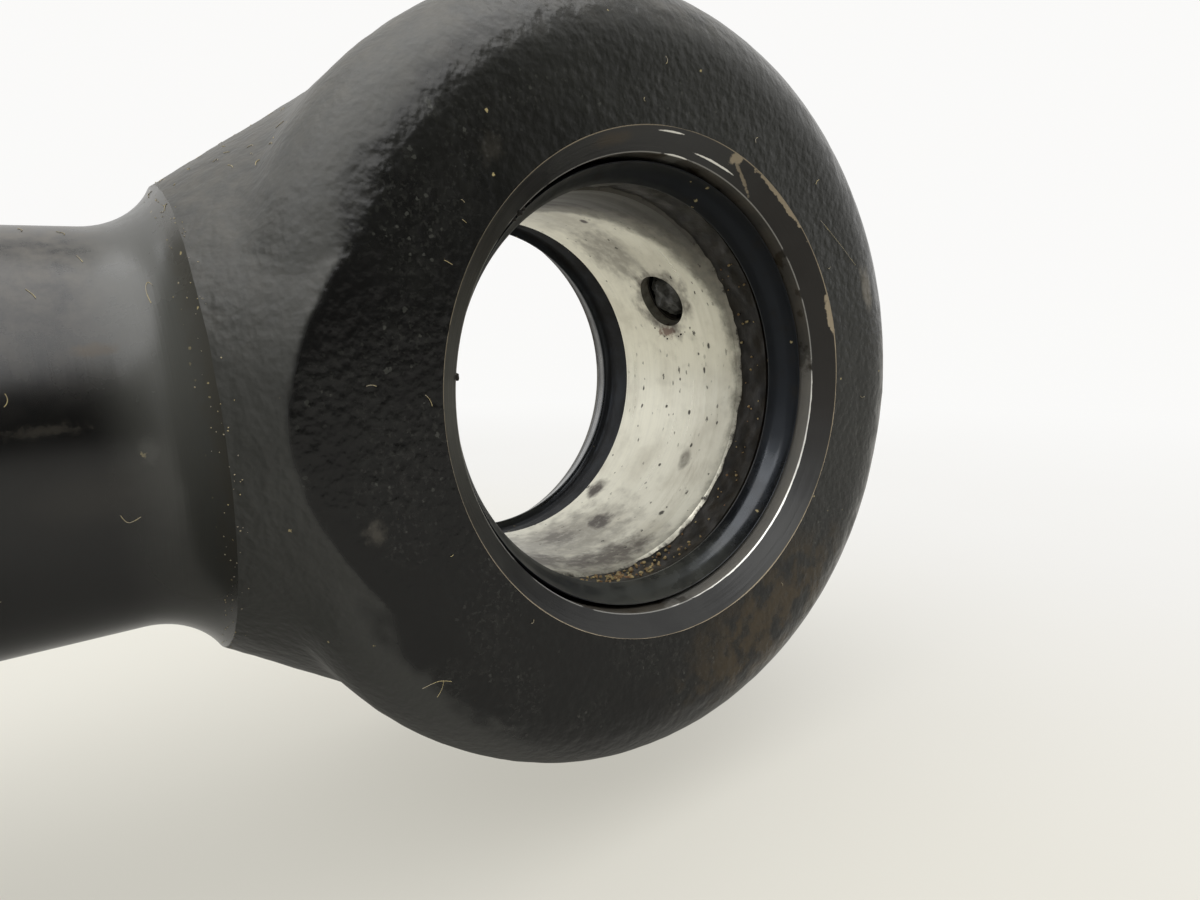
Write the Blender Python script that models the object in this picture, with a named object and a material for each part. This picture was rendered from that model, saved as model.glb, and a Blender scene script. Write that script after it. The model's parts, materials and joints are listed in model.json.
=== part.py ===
"""Tilt cylinder of a compact loader, lying fully retracted on its base eye and gland collar.

The cylinder's own axis is X, from the base pin towards the rod pin. Both pin bores run along Y.
"""

import math

import bmesh
import bpy
from mathutils import Matrix, Vector

MM = 0.001

# Clearances between neighbouring pieces
FIT_GAP = 0.3 * MM
SLIDE_GAP = 0.3 * MM

# Pin joints, the same at both ends
PIN_BORE = 38.1 * MM
BUSH_WALL = 1.5875 * MM
MOUTH_CHAMFER = 1.9 * MM
BUSH_SEAT_DEPTH = 10.8 * MM
SEAL_DEPTH = 3.1 * MM
SEAL_LIP_RIDGE = 3.1 * MM
SEAL_LIP_REACH = 0.25 * MM
EYE_WIDTH = 43.1 * MM
GREASE_HOLE = 6.8 * MM
GREASE_ANGLE = math.radians(27)
SPOTFACE_RADIUS = 7.0 * MM
SPOTFACE_DEPTH = 1.2 * MM

# Rod eye: a forged ring, a conical neck as wide as the ring and a turned shank
ROD_RING_RADIUS = 36.3 * MM
ROD_RING_ROUNDING = 7.9 * MM
ROD_NECK_ANGLE = math.radians(33.3)
ROD_NECK_INSET = 0.2 * MM
ROD_DIAMETER = 31.75 * MM
SHANK_FILLET = 6.0 * MM
SHANK_FILLET_TO_PIN = 35.9 * MM
SHANK_ALLOWANCE = 0.25 * MM
SHANK_LENGTH = 61.0 * MM

# Base eye: a forged ring on a round end cap
BASE_RING_RADIUS = 42.0 * MM
BASE_RING_ROUNDING = 8.0 * MM
BASE_NECK_ROUNDING = 6.0 * MM
CAP_FACE_TO_PIN = 56.0 * MM
CAP_THICKNESS = 12.0 * MM
CAP_WELD_CHAMFER = 4.0 * MM
SPIGOT_LENGTH = 32.0 * MM
NUT_RECESS_RADIUS = 24.0 * MM
NUT_RECESS_DEPTH = 24.0 * MM

# Barrel
BORE_DIAMETER = 63.5 * MM
TUBE_WALL = 6.35 * MM
STROKE = 350.0 * MM
WELD_CROWN = 1.8 * MM
WELD_HALF_WIDTH = 4.5 * MM

# Ports, on top of the barrel
PORT_BOSS_RADIUS = 17.0 * MM
PORT_BOSS_HEIGHT = 14.0 * MM
PORT_BORE = 17.5 * MM
PORT_BORE_DEPTH = 12.5 * MM
PORT_SPOTFACE = 27.0 * MM
PORT_SPOTFACE_DEPTH = 0.8 * MM
PORT_DRILLING = 9.0 * MM
PORT_WELD_LEG = 4.0 * MM
BASE_PORT_FROM_CAP = 27.0 * MM
HEAD_PORT_FROM_NOSE = 6.5 * MM

# Gland
GLAND_LENGTH = 52.0 * MM
GLAND_NOSE_LENGTH = 13.0 * MM
GLAND_NOSE_RADIUS = 26.5 * MM
COLLAR_RADIUS = 42.0 * MM
COLLAR_THICKNESS = 16.0 * MM
COLLAR_CHAMFER = 1.5 * MM
COLLAR_TO_SHANK_END = 2.0 * MM
SPANNER_NOTCHES = 6
SPANNER_NOTCH_WIDTH = 9.0 * MM
SPANNER_NOTCH_DEPTH = 4.5 * MM
SPANNER_NOTCH_LENGTH = 9.0 * MM
STATIC_GROOVE_DEPTH = 3.4 * MM
STATIC_GROOVE_WIDTH = 6.9 * MM
STATIC_GROOVE_FROM_SEAT = 9.0 * MM
GLAND_O_RING_WIDTH = 4.0 * MM
WIPER_WIDTH = 7.0 * MM
WIPER_LIP = 1.2 * MM
WIPER_DEPTH = 4.2 * MM
ROD_SEAL_WIDTH = 8.0 * MM
ROD_SEAL_DEPTH = 5.0 * MM
BUFFER_WIDTH = 6.0 * MM
BUFFER_DEPTH = 4.4 * MM
GUIDE_WIDTH = 14.0 * MM
GUIDE_DEPTH = 2.6 * MM
GLAND_LAND = 4.5 * MM

# Piston
PISTON_LENGTH = 46.0 * MM
PISTON_UNDERSIZE = 0.8 * MM
PISTON_CHAMFER = 1.5 * MM
WEAR_RING_WIDTH = 9.7 * MM
WEAR_RING_THICKNESS = 2.5 * MM
WEAR_RING_FROM_END = 4.0 * MM
PISTON_SEAL_WIDTH = 8.0 * MM
PISTON_SEAL_THICKNESS = 2.6 * MM
EXPANDER_THICKNESS = 2.6 * MM
ROD_THREAD = 24.0 * MM
PISTON_O_RING_SECTION = 2.4 * MM
PISTON_O_RING_FROM_FRONT = 6.0 * MM
NUT_ACROSS_FLATS = 36.0 * MM
NUT_HEIGHT = 19.0 * MM
THREAD_TAIL = 2.5 * MM

# Grease fittings
FITTING_STEM_RADIUS = 3.1 * MM
FITTING_STEM_LENGTH = 6.0 * MM
FITTING_HEX_FLATS = 8.0 * MM
FITTING_HEX_HEIGHT = 3.2 * MM
FITTING_HEAD_RADIUS = 3.2 * MM
FITTING_HEIGHT = 9.5 * MM

# Facets in a full turn
STEPS = 32
EYE_STEPS = 40
SMALL_STEPS = 16
ARC_STEPS = 4

# Sizes that follow from the ones above
HALF_WIDTH = EYE_WIDTH / 2
PIN_RADIUS = PIN_BORE / 2
HOUSING_RADIUS = PIN_RADIUS + BUSH_WALL
ROD_RADIUS = ROD_DIAMETER / 2
BORE_RADIUS = BORE_DIAMETER / 2
TUBE_RADIUS = BORE_RADIUS + TUBE_WALL
AXIS_HEIGHT = max(BASE_RING_RADIUS, COLLAR_RADIUS)

TUBE_START = CAP_FACE_TO_PIN + FIT_GAP
SPIGOT_END = CAP_FACE_TO_PIN + SPIGOT_LENGTH
PISTON_REAR = SPIGOT_END + FIT_GAP
PISTON_FRONT = PISTON_REAR + PISTON_LENGTH
GLAND_NOSE = PISTON_FRONT + STROKE + FIT_GAP
COLLAR_SEAT = GLAND_NOSE + GLAND_LENGTH
TUBE_END = COLLAR_SEAT - FIT_GAP
COLLAR_FACE = COLLAR_SEAT + COLLAR_THICKNESS
SHANK_END = COLLAR_FACE + COLLAR_TO_SHANK_END
ROD_PIN = SHANK_END + SHANK_LENGTH
BASE_PORT = CAP_FACE_TO_PIN + BASE_PORT_FROM_CAP
HEAD_PORT = GLAND_NOSE + HEAD_PORT_FROM_NOSE
PORT_FACE = TUBE_RADIUS + PORT_BOSS_HEIGHT

PISTON_RADIUS = BORE_RADIUS - PISTON_UNDERSIZE
SKIRT_RADIUS = BORE_RADIUS - SLIDE_GAP
THREAD_RADIUS = ROD_THREAD / 2
GLAND_BORE = ROD_RADIUS + SLIDE_GAP


def clear_scene():
    for obj in list(bpy.data.objects):
        bpy.data.objects.remove(obj)


def paint(name, colour, roughness, metallic):
    material = bpy.data.materials.new(name)
    material.use_nodes = True
    shader = material.node_tree.nodes["Principled BSDF"]
    shader.inputs["Base Color"].default_value = (*colour, 1)
    shader.inputs["Roughness"].default_value = roughness
    shader.inputs["Metallic"].default_value = metallic
    return material


def empty(name, location):
    obj = bpy.data.objects.new(name, None)
    obj.location = location
    bpy.context.collection.objects.link(obj)
    return obj


def add_object(name, mesh_data, parent, material=None, helper=False):
    """An object of this bmesh under its parent empty. A helper is a cutter or a part of a union."""
    bmesh.ops.recalc_face_normals(mesh_data, faces=mesh_data.faces)
    mesh = bpy.data.meshes.new(name)
    mesh_data.to_mesh(mesh)
    mesh_data.free()
    mesh.shade_smooth()
    mesh.set_sharp_from_angle(angle=math.radians(35))
    obj = bpy.data.objects.new(name, mesh)
    obj.parent = parent
    if helper:
        obj.hide_render = True
        obj.display_type = "WIRE"
    else:
        mesh.materials.append(material)
    bpy.context.collection.objects.link(obj)
    return obj


def combine(target, other, operation):
    modifier = target.modifiers.new(other.name, "BOOLEAN")
    modifier.operation = operation
    modifier.solver = "EXACT"
    modifier.object = other


def turned(outline, steps=STEPS, closed=True):
    """A bmesh turned about X from (x, radius) points; a closed outline is a ring's section."""
    shape = bmesh.new()
    verts = [shape.verts.new((x, 0, radius)) for x, radius in outline]
    edges = [shape.edges.new(pair) for pair in zip(verts, verts[1:])]
    if closed:
        edges.append(shape.edges.new((verts[-1], verts[0])))
    bmesh.ops.spin(
        shape,
        geom=verts + edges,
        cent=(0, 0, 0),
        axis=(1, 0, 0),
        angle=math.tau,
        steps=steps,
        use_merge=True,
    )
    bmesh.ops.remove_doubles(shape, verts=shape.verts, dist=1e-6)
    return shape


def arc(centre, radius, start, end, steps=ARC_STEPS):
    """Points on an arc in the (x, radius) plane, from the start angle to the end angle in degrees."""
    angles = [math.radians(start + (end - start) * i / steps) for i in range(steps + 1)]
    return [(centre[0] + radius * math.cos(a), centre[1] + radius * math.sin(a)) for a in angles]


def bar(x_start, x_end, radius, chamfer=0.0, steps=STEPS):
    """A solid round bar along X, with its ends chamfered if asked."""
    outline = [(x_start, 0), (x_start, radius - chamfer)]
    if chamfer:
        outline += [(x_start + chamfer, radius), (x_end - chamfer, radius)]
    outline += [(x_end, radius - chamfer), (x_end, 0)]
    return turned(outline, steps, closed=False)


def ring(x_start, x_end, inner, outer, steps=STEPS):
    return turned([(x_start, outer), (x_end, outer), (x_end, inner), (x_start, inner)], steps)


def prism(corners, thickness, rounding):
    """An (x, z) outline extruded along Y about the middle plane, with its long edges rounded."""
    shape = bmesh.new()
    verts = [shape.verts.new((x, -thickness / 2, z)) for x, z in corners]
    face = shape.faces.new(verts)
    pushed = bmesh.ops.extrude_face_region(shape, geom=[face])["geom"]
    moved = [item for item in pushed if isinstance(item, bmesh.types.BMVert)]
    bmesh.ops.translate(shape, verts=moved, vec=(0, thickness, 0))
    long_edges = [
        edge
        for edge in shape.edges
        if abs(edge.verts[0].co.y - edge.verts[1].co.y) < thickness / 2
        and abs(edge.verts[0].co.x - edge.verts[1].co.x) > 1e-6
    ]
    bmesh.ops.bevel(
        shape,
        geom=long_edges,
        offset=rounding,
        segments=ARC_STEPS,
        profile=0.5,
        affect="EDGES",
    )
    return shape


def slab(reach, thickness):
    """A square plate about the middle plane, reaching this far from the pin every way."""
    shape = bmesh.new()
    bmesh.ops.create_cube(shape, size=1)
    bmesh.ops.scale(shape, verts=shape.verts, vec=(2 * reach, thickness, 2 * reach))
    return shape


def along_y(shape):
    bmesh.ops.rotate(shape, verts=shape.verts, cent=(0, 0, 0), matrix=Matrix.Rotation(math.pi / 2, 3, "Z"))
    return shape


def along_z(shape):
    bmesh.ops.rotate(shape, verts=shape.verts, cent=(0, 0, 0), matrix=Matrix.Rotation(-math.pi / 2, 3, "Y"))
    return shape


def tilted(shape, angle):
    """Turns a shape made along +X to the angle above +X, about Y."""
    bmesh.ops.rotate(shape, verts=shape.verts, cent=(0, 0, 0), matrix=Matrix.Rotation(-angle, 3, "Y"))
    return shape


def moved(shape, x, z=0.0):
    bmesh.ops.translate(shape, verts=shape.verts, vec=(x, 0, z))
    return shape


def eye_ring(radius, rounding):
    """The forged ring before boring: a disc along Y with rounded rims."""
    flat = HALF_WIDTH - rounding
    outline = [(-HALF_WIDTH, 0)]
    outline += arc((-flat, radius - rounding), rounding, 180, 90)
    outline += arc((flat, radius - rounding), rounding, 90, 0)
    outline += [(HALF_WIDTH, 0)]
    return along_y(turned(outline, EYE_STEPS, closed=False))


def eye_bore_cutter():
    """The housing bore along Y with a chamfered mouth at each face."""
    past = FIT_GAP
    mouth = HOUSING_RADIUS + MOUTH_CHAMFER
    outline = [(-HALF_WIDTH - past, 0), (-HALF_WIDTH - past, mouth + past)]
    outline += [(-HALF_WIDTH + MOUTH_CHAMFER, HOUSING_RADIUS), (HALF_WIDTH - MOUTH_CHAMFER, HOUSING_RADIUS)]
    outline += [(HALF_WIDTH + past, mouth + past), (HALF_WIDTH + past, 0)]
    return along_y(turned(outline, EYE_STEPS, closed=False))


def add_grease_way(target, parent, ring_radius, angle, name):
    """The grease drilling through a ring's wall and the flat seat for the fitting's hexagon."""
    drill = tilted(bar(PIN_RADIUS / 2, ring_radius * 1.2, GREASE_HOLE / 2, steps=SMALL_STEPS), angle)
    combine(target, add_object(name + "_drill", drill, parent, helper=True), "DIFFERENCE")
    seat = ring_radius - SPOTFACE_DEPTH
    spot = tilted(bar(seat, ring_radius * 1.2, SPOTFACE_RADIUS, steps=2 * SMALL_STEPS), angle)
    combine(target, add_object(name + "_spot", spot, parent, helper=True), "DIFFERENCE")


def add_grease_fitting(name, parent, ring_radius, angle, material):
    """A straight fitting on its seat: stem in the drilling, hexagon, neck and nipple."""
    seat = ring_radius - SPOTFACE_DEPTH + FIT_GAP
    hex_top = seat + FITTING_HEX_HEIGHT
    top = seat + FITTING_HEIGHT
    neck = FITTING_HEAD_RADIUS * 0.7
    waist = (hex_top + top) / 2
    outline = [(seat - FITTING_STEM_LENGTH, 0), (seat - FITTING_STEM_LENGTH, FITTING_STEM_RADIUS)]
    outline += [(seat + FITTING_HEX_HEIGHT / 2, FITTING_STEM_RADIUS), (hex_top, FITTING_HEAD_RADIUS)]
    outline += [(waist, neck), (waist + (top - waist) * 0.45, FITTING_HEAD_RADIUS)]
    outline += [(top, neck * 0.8), (top, 0)]
    body = add_object(name, tilted(turned(outline, SMALL_STEPS, closed=False), angle), parent, material)
    corner_radius = FITTING_HEX_FLATS / math.sqrt(3)
    hexagon = tilted(bar(seat, hex_top, corner_radius, steps=6), angle)
    combine(body, add_object(name + "_hexagon", hexagon, parent, helper=True), "UNION")
    return body


def add_bushing(name, parent, angle, material):
    """The steel bush between the two pin seals, with its grease hole."""
    half = HALF_WIDTH - BUSH_SEAT_DEPTH
    outer = HOUSING_RADIUS - FIT_GAP
    edge = BUSH_WALL / 4
    section = [(-half, outer), (half, outer), (half, PIN_RADIUS + edge), (half - edge, PIN_RADIUS)]
    section += [(-half + edge, PIN_RADIUS), (-half, PIN_RADIUS + edge)]
    bush = add_object(name, along_y(turned(section)), parent, material)
    drill = tilted(bar(PIN_RADIUS / 2, HOUSING_RADIUS * 1.2, GREASE_HOLE / 2, steps=SMALL_STEPS), angle)
    combine(bush, add_object(name + "_drill", drill, parent, helper=True), "DIFFERENCE")


def add_pin_seal(name, parent, side, material):
    """A lip seal in the mouth of the bore: side is -1 at the -Y face and +1 at the +Y face."""
    outer = HOUSING_RADIUS - FIT_GAP
    front = HALF_WIDTH - SEAL_DEPTH
    back = HALF_WIDTH - BUSH_SEAT_DEPTH + FIT_GAP
    ridge = front - SEAL_LIP_RIDGE
    thickness = outer - PIN_RADIUS
    section = [(back, outer), (front - thickness * 0.4, outer), (front, outer - thickness * 0.3)]
    section += [(front - thickness * 0.3, PIN_RADIUS + thickness * 0.3)]
    section += [(ridge, PIN_RADIUS - SEAL_LIP_REACH), (ridge - thickness * 0.5, PIN_RADIUS + thickness * 0.2)]
    section += [(back, PIN_RADIUS + thickness * 0.25)]
    section = [(side * x, radius) for x, radius in section]
    return add_object(name, along_y(turned(section)), parent, material)


def add_rod_eye(parent, material):
    """The forged rod eye: ring and neck, cut to the lathe's outline at the shank, bored and drilled."""
    eye = add_object("rod_eye", eye_ring(ROD_RING_RADIUS, ROD_RING_ROUNDING), parent, material)
    # The neck is a cone that runs out tangent to a circle just inside the ring.
    reach = ROD_RING_RADIUS - ROD_NECK_INSET
    slope = math.tan(ROD_NECK_ANGLE)
    tangent = (-reach * math.sin(ROD_NECK_ANGLE), reach * math.cos(ROD_NECK_ANGLE))
    blank = ROD_RADIUS + SHANK_ALLOWANCE
    neck_start = tangent[0] - (tangent[1] - blank) / slope
    outline = [(-SHANK_LENGTH, 0), (-SHANK_LENGTH, blank), (neck_start, blank)]
    outline += [tangent, (0, tangent[1]), (0, 0)]
    neck = add_object("rod_eye_neck", turned(outline, EYE_STEPS, closed=False), parent, helper=True)
    # The forging dies cut the cone flat at both faces of the ring.
    faces = slab(2 * SHANK_LENGTH, EYE_WIDTH)
    combine(neck, add_object("rod_eye_faces", faces, parent, helper=True), "INTERSECT")
    combine(eye, neck, "UNION")
    # The lathe leaves a round shank and a concave fillet that runs out into the forging.
    far = 2 * ROD_RING_RADIUS
    fillet_start = -SHANK_FILLET_TO_PIN - SHANK_FILLET
    lathe = [(-SHANK_LENGTH, 0), (-SHANK_LENGTH, ROD_RADIUS)]
    lathe += arc((fillet_start, ROD_RADIUS + SHANK_FILLET), SHANK_FILLET, -90, 0, 2 * ARC_STEPS)
    lathe += [(fillet_start + SHANK_FILLET, far), (far, far), (far, 0)]
    envelope = turned(lathe, EYE_STEPS, closed=False)
    combine(eye, add_object("rod_eye_lathe", envelope, parent, helper=True), "INTERSECT")
    combine(eye, add_object("rod_eye_bore", eye_bore_cutter(), parent, helper=True), "DIFFERENCE")
    add_grease_way(eye, parent, ROD_RING_RADIUS, GREASE_ANGLE, "rod_eye")


def add_base_eye(parent, material):
    """The forged base eye with its round cap, spigot and the recess that takes the piston nut."""
    eye = add_object("base_eye", eye_ring(BASE_RING_RADIUS, BASE_RING_ROUNDING), parent, material)
    cap_back = CAP_FACE_TO_PIN - CAP_THICKNESS
    top = TUBE_RADIUS - BASE_NECK_ROUNDING / 2
    corners = [(0, BASE_RING_RADIUS - FIT_GAP), (cap_back + FIT_GAP, top)]
    corners += [(x, -z) for x, z in reversed(corners)]
    neck = prism(corners, EYE_WIDTH - 2 * FIT_GAP, BASE_NECK_ROUNDING)
    combine(eye, add_object("base_eye_neck", neck, parent, helper=True), "UNION")
    spigot = BORE_RADIUS - FIT_GAP
    cap = [(cap_back, 0), (cap_back, TUBE_RADIUS - PISTON_CHAMFER), (cap_back + PISTON_CHAMFER, TUBE_RADIUS)]
    cap += [(CAP_FACE_TO_PIN - CAP_WELD_CHAMFER, TUBE_RADIUS)]
    cap += [(CAP_FACE_TO_PIN, TUBE_RADIUS - CAP_WELD_CHAMFER), (CAP_FACE_TO_PIN, spigot)]
    cap += [(SPIGOT_END - PISTON_CHAMFER, spigot), (SPIGOT_END, spigot - PISTON_CHAMFER), (SPIGOT_END, 0)]
    combine(eye, add_object("base_eye_cap", turned(cap, closed=False), parent, helper=True), "UNION")
    recess = bar(SPIGOT_END - NUT_RECESS_DEPTH, SPIGOT_END + CAP_THICKNESS, NUT_RECESS_RADIUS)
    combine(eye, add_object("base_eye_recess", recess, parent, helper=True), "DIFFERENCE")
    way = moved(along_z(bar(0, TUBE_RADIUS, PORT_DRILLING / 2, steps=SMALL_STEPS)), BASE_PORT)
    combine(eye, add_object("base_eye_oil_way", way, parent, helper=True), "DIFFERENCE")
    combine(eye, add_object("base_eye_bore", eye_bore_cutter(), parent, helper=True), "DIFFERENCE")
    add_grease_way(eye, parent, BASE_RING_RADIUS, math.pi - GREASE_ANGLE, "base_eye")


def add_barrel_tube(parent, material):
    """The honed tube, with the weld bead that joins it to the cap, and a drilling under each port."""
    root = TUBE_RADIUS - CAP_WELD_CHAMFER
    bead = TUBE_RADIUS + WELD_CROWN
    bead_back = CAP_FACE_TO_PIN - CAP_WELD_CHAMFER - WELD_HALF_WIDTH / 4
    lift = FIT_GAP * 1.5
    section = [(TUBE_START, BORE_RADIUS), (TUBE_START, root + lift)]
    section += [(CAP_FACE_TO_PIN - CAP_WELD_CHAMFER + lift, TUBE_RADIUS + lift), (bead_back, TUBE_RADIUS + lift)]
    section += [(bead_back + WELD_HALF_WIDTH * 0.4, TUBE_RADIUS + WELD_CROWN * 0.8)]
    section += [(CAP_FACE_TO_PIN, bead), (CAP_FACE_TO_PIN + WELD_HALF_WIDTH * 0.6, TUBE_RADIUS + WELD_CROWN * 0.7)]
    section += [(CAP_FACE_TO_PIN + WELD_HALF_WIDTH, TUBE_RADIUS), (TUBE_END - COLLAR_CHAMFER, TUBE_RADIUS)]
    section += [(TUBE_END, TUBE_RADIUS - COLLAR_CHAMFER), (TUBE_END, BORE_RADIUS + COLLAR_CHAMFER / 2)]
    section += [(TUBE_END - COLLAR_CHAMFER, BORE_RADIUS)]
    tube = add_object("barrel_tube", turned(section), parent, material)
    for name, x in (("base", BASE_PORT), ("head", HEAD_PORT)):
        drill = moved(along_z(bar(BORE_RADIUS / 2, PORT_FACE, PORT_DRILLING / 2, steps=SMALL_STEPS)), x)
        combine(tube, add_object("barrel_" + name + "_drill", drill, parent, helper=True), "DIFFERENCE")


def add_port_boss(name, x, parent, material):
    """A turned port boss with its weld fillet, saddled on the tube, its bore stepping down to the drilling."""
    saddle = TUBE_RADIUS + FIT_GAP
    low = BORE_RADIUS
    side = math.sqrt(saddle**2 - PORT_BOSS_RADIUS**2)
    chamfer = PORT_BOSS_RADIUS / 12
    spot = PORT_FACE - PORT_SPOTFACE_DEPTH
    step = PORT_FACE - PORT_BORE_DEPTH
    section = [(low, PORT_DRILLING / 2), (low, PORT_BOSS_RADIUS + PORT_WELD_LEG)]
    section += [(side, PORT_BOSS_RADIUS + PORT_WELD_LEG), (saddle + PORT_WELD_LEG * 0.9, PORT_BOSS_RADIUS)]
    section += [(PORT_FACE - chamfer, PORT_BOSS_RADIUS), (PORT_FACE, PORT_BOSS_RADIUS - chamfer)]
    section += [(PORT_FACE, PORT_SPOTFACE / 2), (spot, PORT_SPOTFACE / 2), (spot, PORT_BORE / 2 + chamfer)]
    section += [(spot - chamfer, PORT_BORE / 2), (step, PORT_BORE / 2)]
    section += [(step - PORT_DRILLING / 4, PORT_DRILLING / 2)]
    boss = add_object(name, moved(along_z(turned(section)), x), parent, material)
    seat = moved(bar(-2 * PORT_BOSS_RADIUS, 2 * PORT_BOSS_RADIUS, saddle), x)
    combine(boss, add_object(name + "_saddle", seat, parent, helper=True), "DIFFERENCE")


def gland_grooves():
    """Each inner groove of the gland as name, start, end and wall radius, from the outer face inwards."""
    wiper_start = COLLAR_FACE - WIPER_WIDTH
    seal_end = wiper_start - GLAND_LAND
    seal_start = seal_end - ROD_SEAL_WIDTH
    buffer_end = seal_start - GLAND_LAND
    buffer_start = buffer_end - BUFFER_WIDTH
    guide_end = buffer_start - GLAND_LAND
    guide_start = guide_end - GUIDE_WIDTH
    return {
        "rod_wiper": (wiper_start, COLLAR_FACE, GLAND_BORE + WIPER_DEPTH),
        "rod_seal": (seal_start, seal_end, GLAND_BORE + ROD_SEAL_DEPTH),
        "rod_buffer_seal": (buffer_start, buffer_end, GLAND_BORE + BUFFER_DEPTH),
        "gland_guide_ring": (guide_start, guide_end, GLAND_BORE + GUIDE_DEPTH),
    }


def add_gland(parent, material):
    """The gland: nose, insert with its static seal groove, notched collar and grooved rod bore."""
    insert = BORE_RADIUS - FIT_GAP
    groove_end = COLLAR_SEAT - STATIC_GROOVE_FROM_SEAT
    groove_start = groove_end - STATIC_GROOVE_WIDTH
    groove_floor = insert - STATIC_GROOVE_DEPTH
    nose_end = GLAND_NOSE + GLAND_NOSE_LENGTH
    section = [(GLAND_NOSE, GLAND_BORE), (GLAND_NOSE, GLAND_NOSE_RADIUS), (nose_end, GLAND_NOSE_RADIUS)]
    section += [(nose_end, insert - COLLAR_CHAMFER), (nose_end + COLLAR_CHAMFER, insert), (groove_start, insert)]
    section += [(groove_start, groove_floor), (groove_end, groove_floor), (groove_end, insert)]
    section += [(COLLAR_SEAT, insert), (COLLAR_SEAT, COLLAR_RADIUS - COLLAR_CHAMFER)]
    section += [(COLLAR_SEAT + COLLAR_CHAMFER, COLLAR_RADIUS), (COLLAR_FACE - COLLAR_CHAMFER, COLLAR_RADIUS)]
    section += [(COLLAR_FACE, COLLAR_RADIUS - COLLAR_CHAMFER)]
    for start, end, wall in gland_grooves().values():
        if end == COLLAR_FACE:
            section += [(end, wall), (start, wall), (start, GLAND_BORE)]
        else:
            section += [(end, GLAND_BORE), (end, wall), (start, wall), (start, GLAND_BORE)]
    gland = add_object("gland", turned(section), parent, material)
    for index in range(SPANNER_NOTCHES):
        angle = math.tau * (index + 0.5) / SPANNER_NOTCHES + math.pi / 2
        notch = bmesh.new()
        bmesh.ops.create_cube(notch, size=1)
        size = (2 * SPANNER_NOTCH_LENGTH, SPANNER_NOTCH_WIDTH, 2 * SPANNER_NOTCH_DEPTH)
        bmesh.ops.scale(notch, verts=notch.verts, vec=size)
        bmesh.ops.translate(notch, verts=notch.verts, vec=(COLLAR_FACE, 0, COLLAR_RADIUS))
        turn = Matrix.Rotation(angle, 3, "X")
        bmesh.ops.rotate(notch, verts=notch.verts, cent=(0, 0, 0), matrix=turn)
        cutter = add_object("gland_notch_%d" % (index + 1), notch, parent, helper=True)
        combine(gland, cutter, "DIFFERENCE")


def add_gland_seals(parent, rubber, plastic, backup):
    """The seals and rings that the gland carries, each filling its groove but for the clearance."""
    inner = ROD_RADIUS + SLIDE_GAP
    grooves = gland_grooves()
    start, end, wall = grooves["rod_wiper"]
    start += FIT_GAP
    outer = wall - FIT_GAP
    middle = (inner + outer) / 2
    lip = end + WIPER_LIP
    section = [(start, outer), (end - FIT_GAP, outer), (end, middle), (lip, inner + WIPER_LIP / 2), (lip, inner)]
    section += [(end, inner + WIPER_LIP / 3), (start, inner + WIPER_LIP / 3)]
    add_object("rod_wiper", turned(section), parent, rubber)
    for name in ("rod_seal", "rod_buffer_seal"):
        start, end, wall = grooves[name]
        start += FIT_GAP
        end -= FIT_GAP
        outer = wall - FIT_GAP
        middle = (inner + outer) / 2
        notch = start + (end - start) / 3
        lip = (outer - inner) / 8
        section = [(start, outer - lip), (start + lip, outer), (end, outer), (end, inner + lip)]
        section += [(start + lip, inner), (start, inner + lip), (notch, middle)]
        add_object(name, turned(section), parent, rubber)
    start, end, wall = grooves["gland_guide_ring"]
    guide = ring(start + FIT_GAP, end - FIT_GAP, inner, wall - FIT_GAP)
    add_object("gland_guide_ring", guide, parent, plastic)
    groove_end = COLLAR_SEAT - STATIC_GROOVE_FROM_SEAT
    groove_start = groove_end - STATIC_GROOVE_WIDTH
    outer = BORE_RADIUS - FIT_GAP
    floor = outer - STATIC_GROOVE_DEPTH + FIT_GAP
    section_radius = (outer - floor) / 2
    split = groove_start + FIT_GAP + GLAND_O_RING_WIDTH
    o_ring = turned(
        arc((groove_start + FIT_GAP + GLAND_O_RING_WIDTH / 2, (outer + floor) / 2), section_radius, 0, 300, 5)
    )
    add_object("gland_o_ring", o_ring, parent, rubber)
    add_object("gland_backup_ring", ring(split + FIT_GAP, groove_end - FIT_GAP, floor, outer), parent, backup)


def piston_grooves():
    """The piston's outer grooves as name, start, end and floor radius, from the rear."""
    wear_floor = SKIRT_RADIUS - WEAR_RING_THICKNESS - FIT_GAP
    middle = (PISTON_REAR + PISTON_FRONT) / 2
    half = PISTON_SEAL_WIDTH / 2 + FIT_GAP
    seal_floor = SKIRT_RADIUS - PISTON_SEAL_THICKNESS - EXPANDER_THICKNESS - 2 * FIT_GAP
    rear = PISTON_REAR + WEAR_RING_FROM_END
    front = PISTON_FRONT - WEAR_RING_FROM_END
    width = WEAR_RING_WIDTH + 2 * FIT_GAP
    return {
        "piston_wear_ring_rear": (rear, rear + width, wear_floor),
        "piston_seal": (middle - half, middle + half, seal_floor),
        "piston_wear_ring_front": (front - width, front, wear_floor),
    }


def piston_o_ring_groove():
    end = PISTON_FRONT - PISTON_O_RING_FROM_FRONT
    return end - PISTON_O_RING_SECTION - 2 * FIT_GAP, end, THREAD_RADIUS + PISTON_O_RING_SECTION + 2 * FIT_GAP


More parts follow.
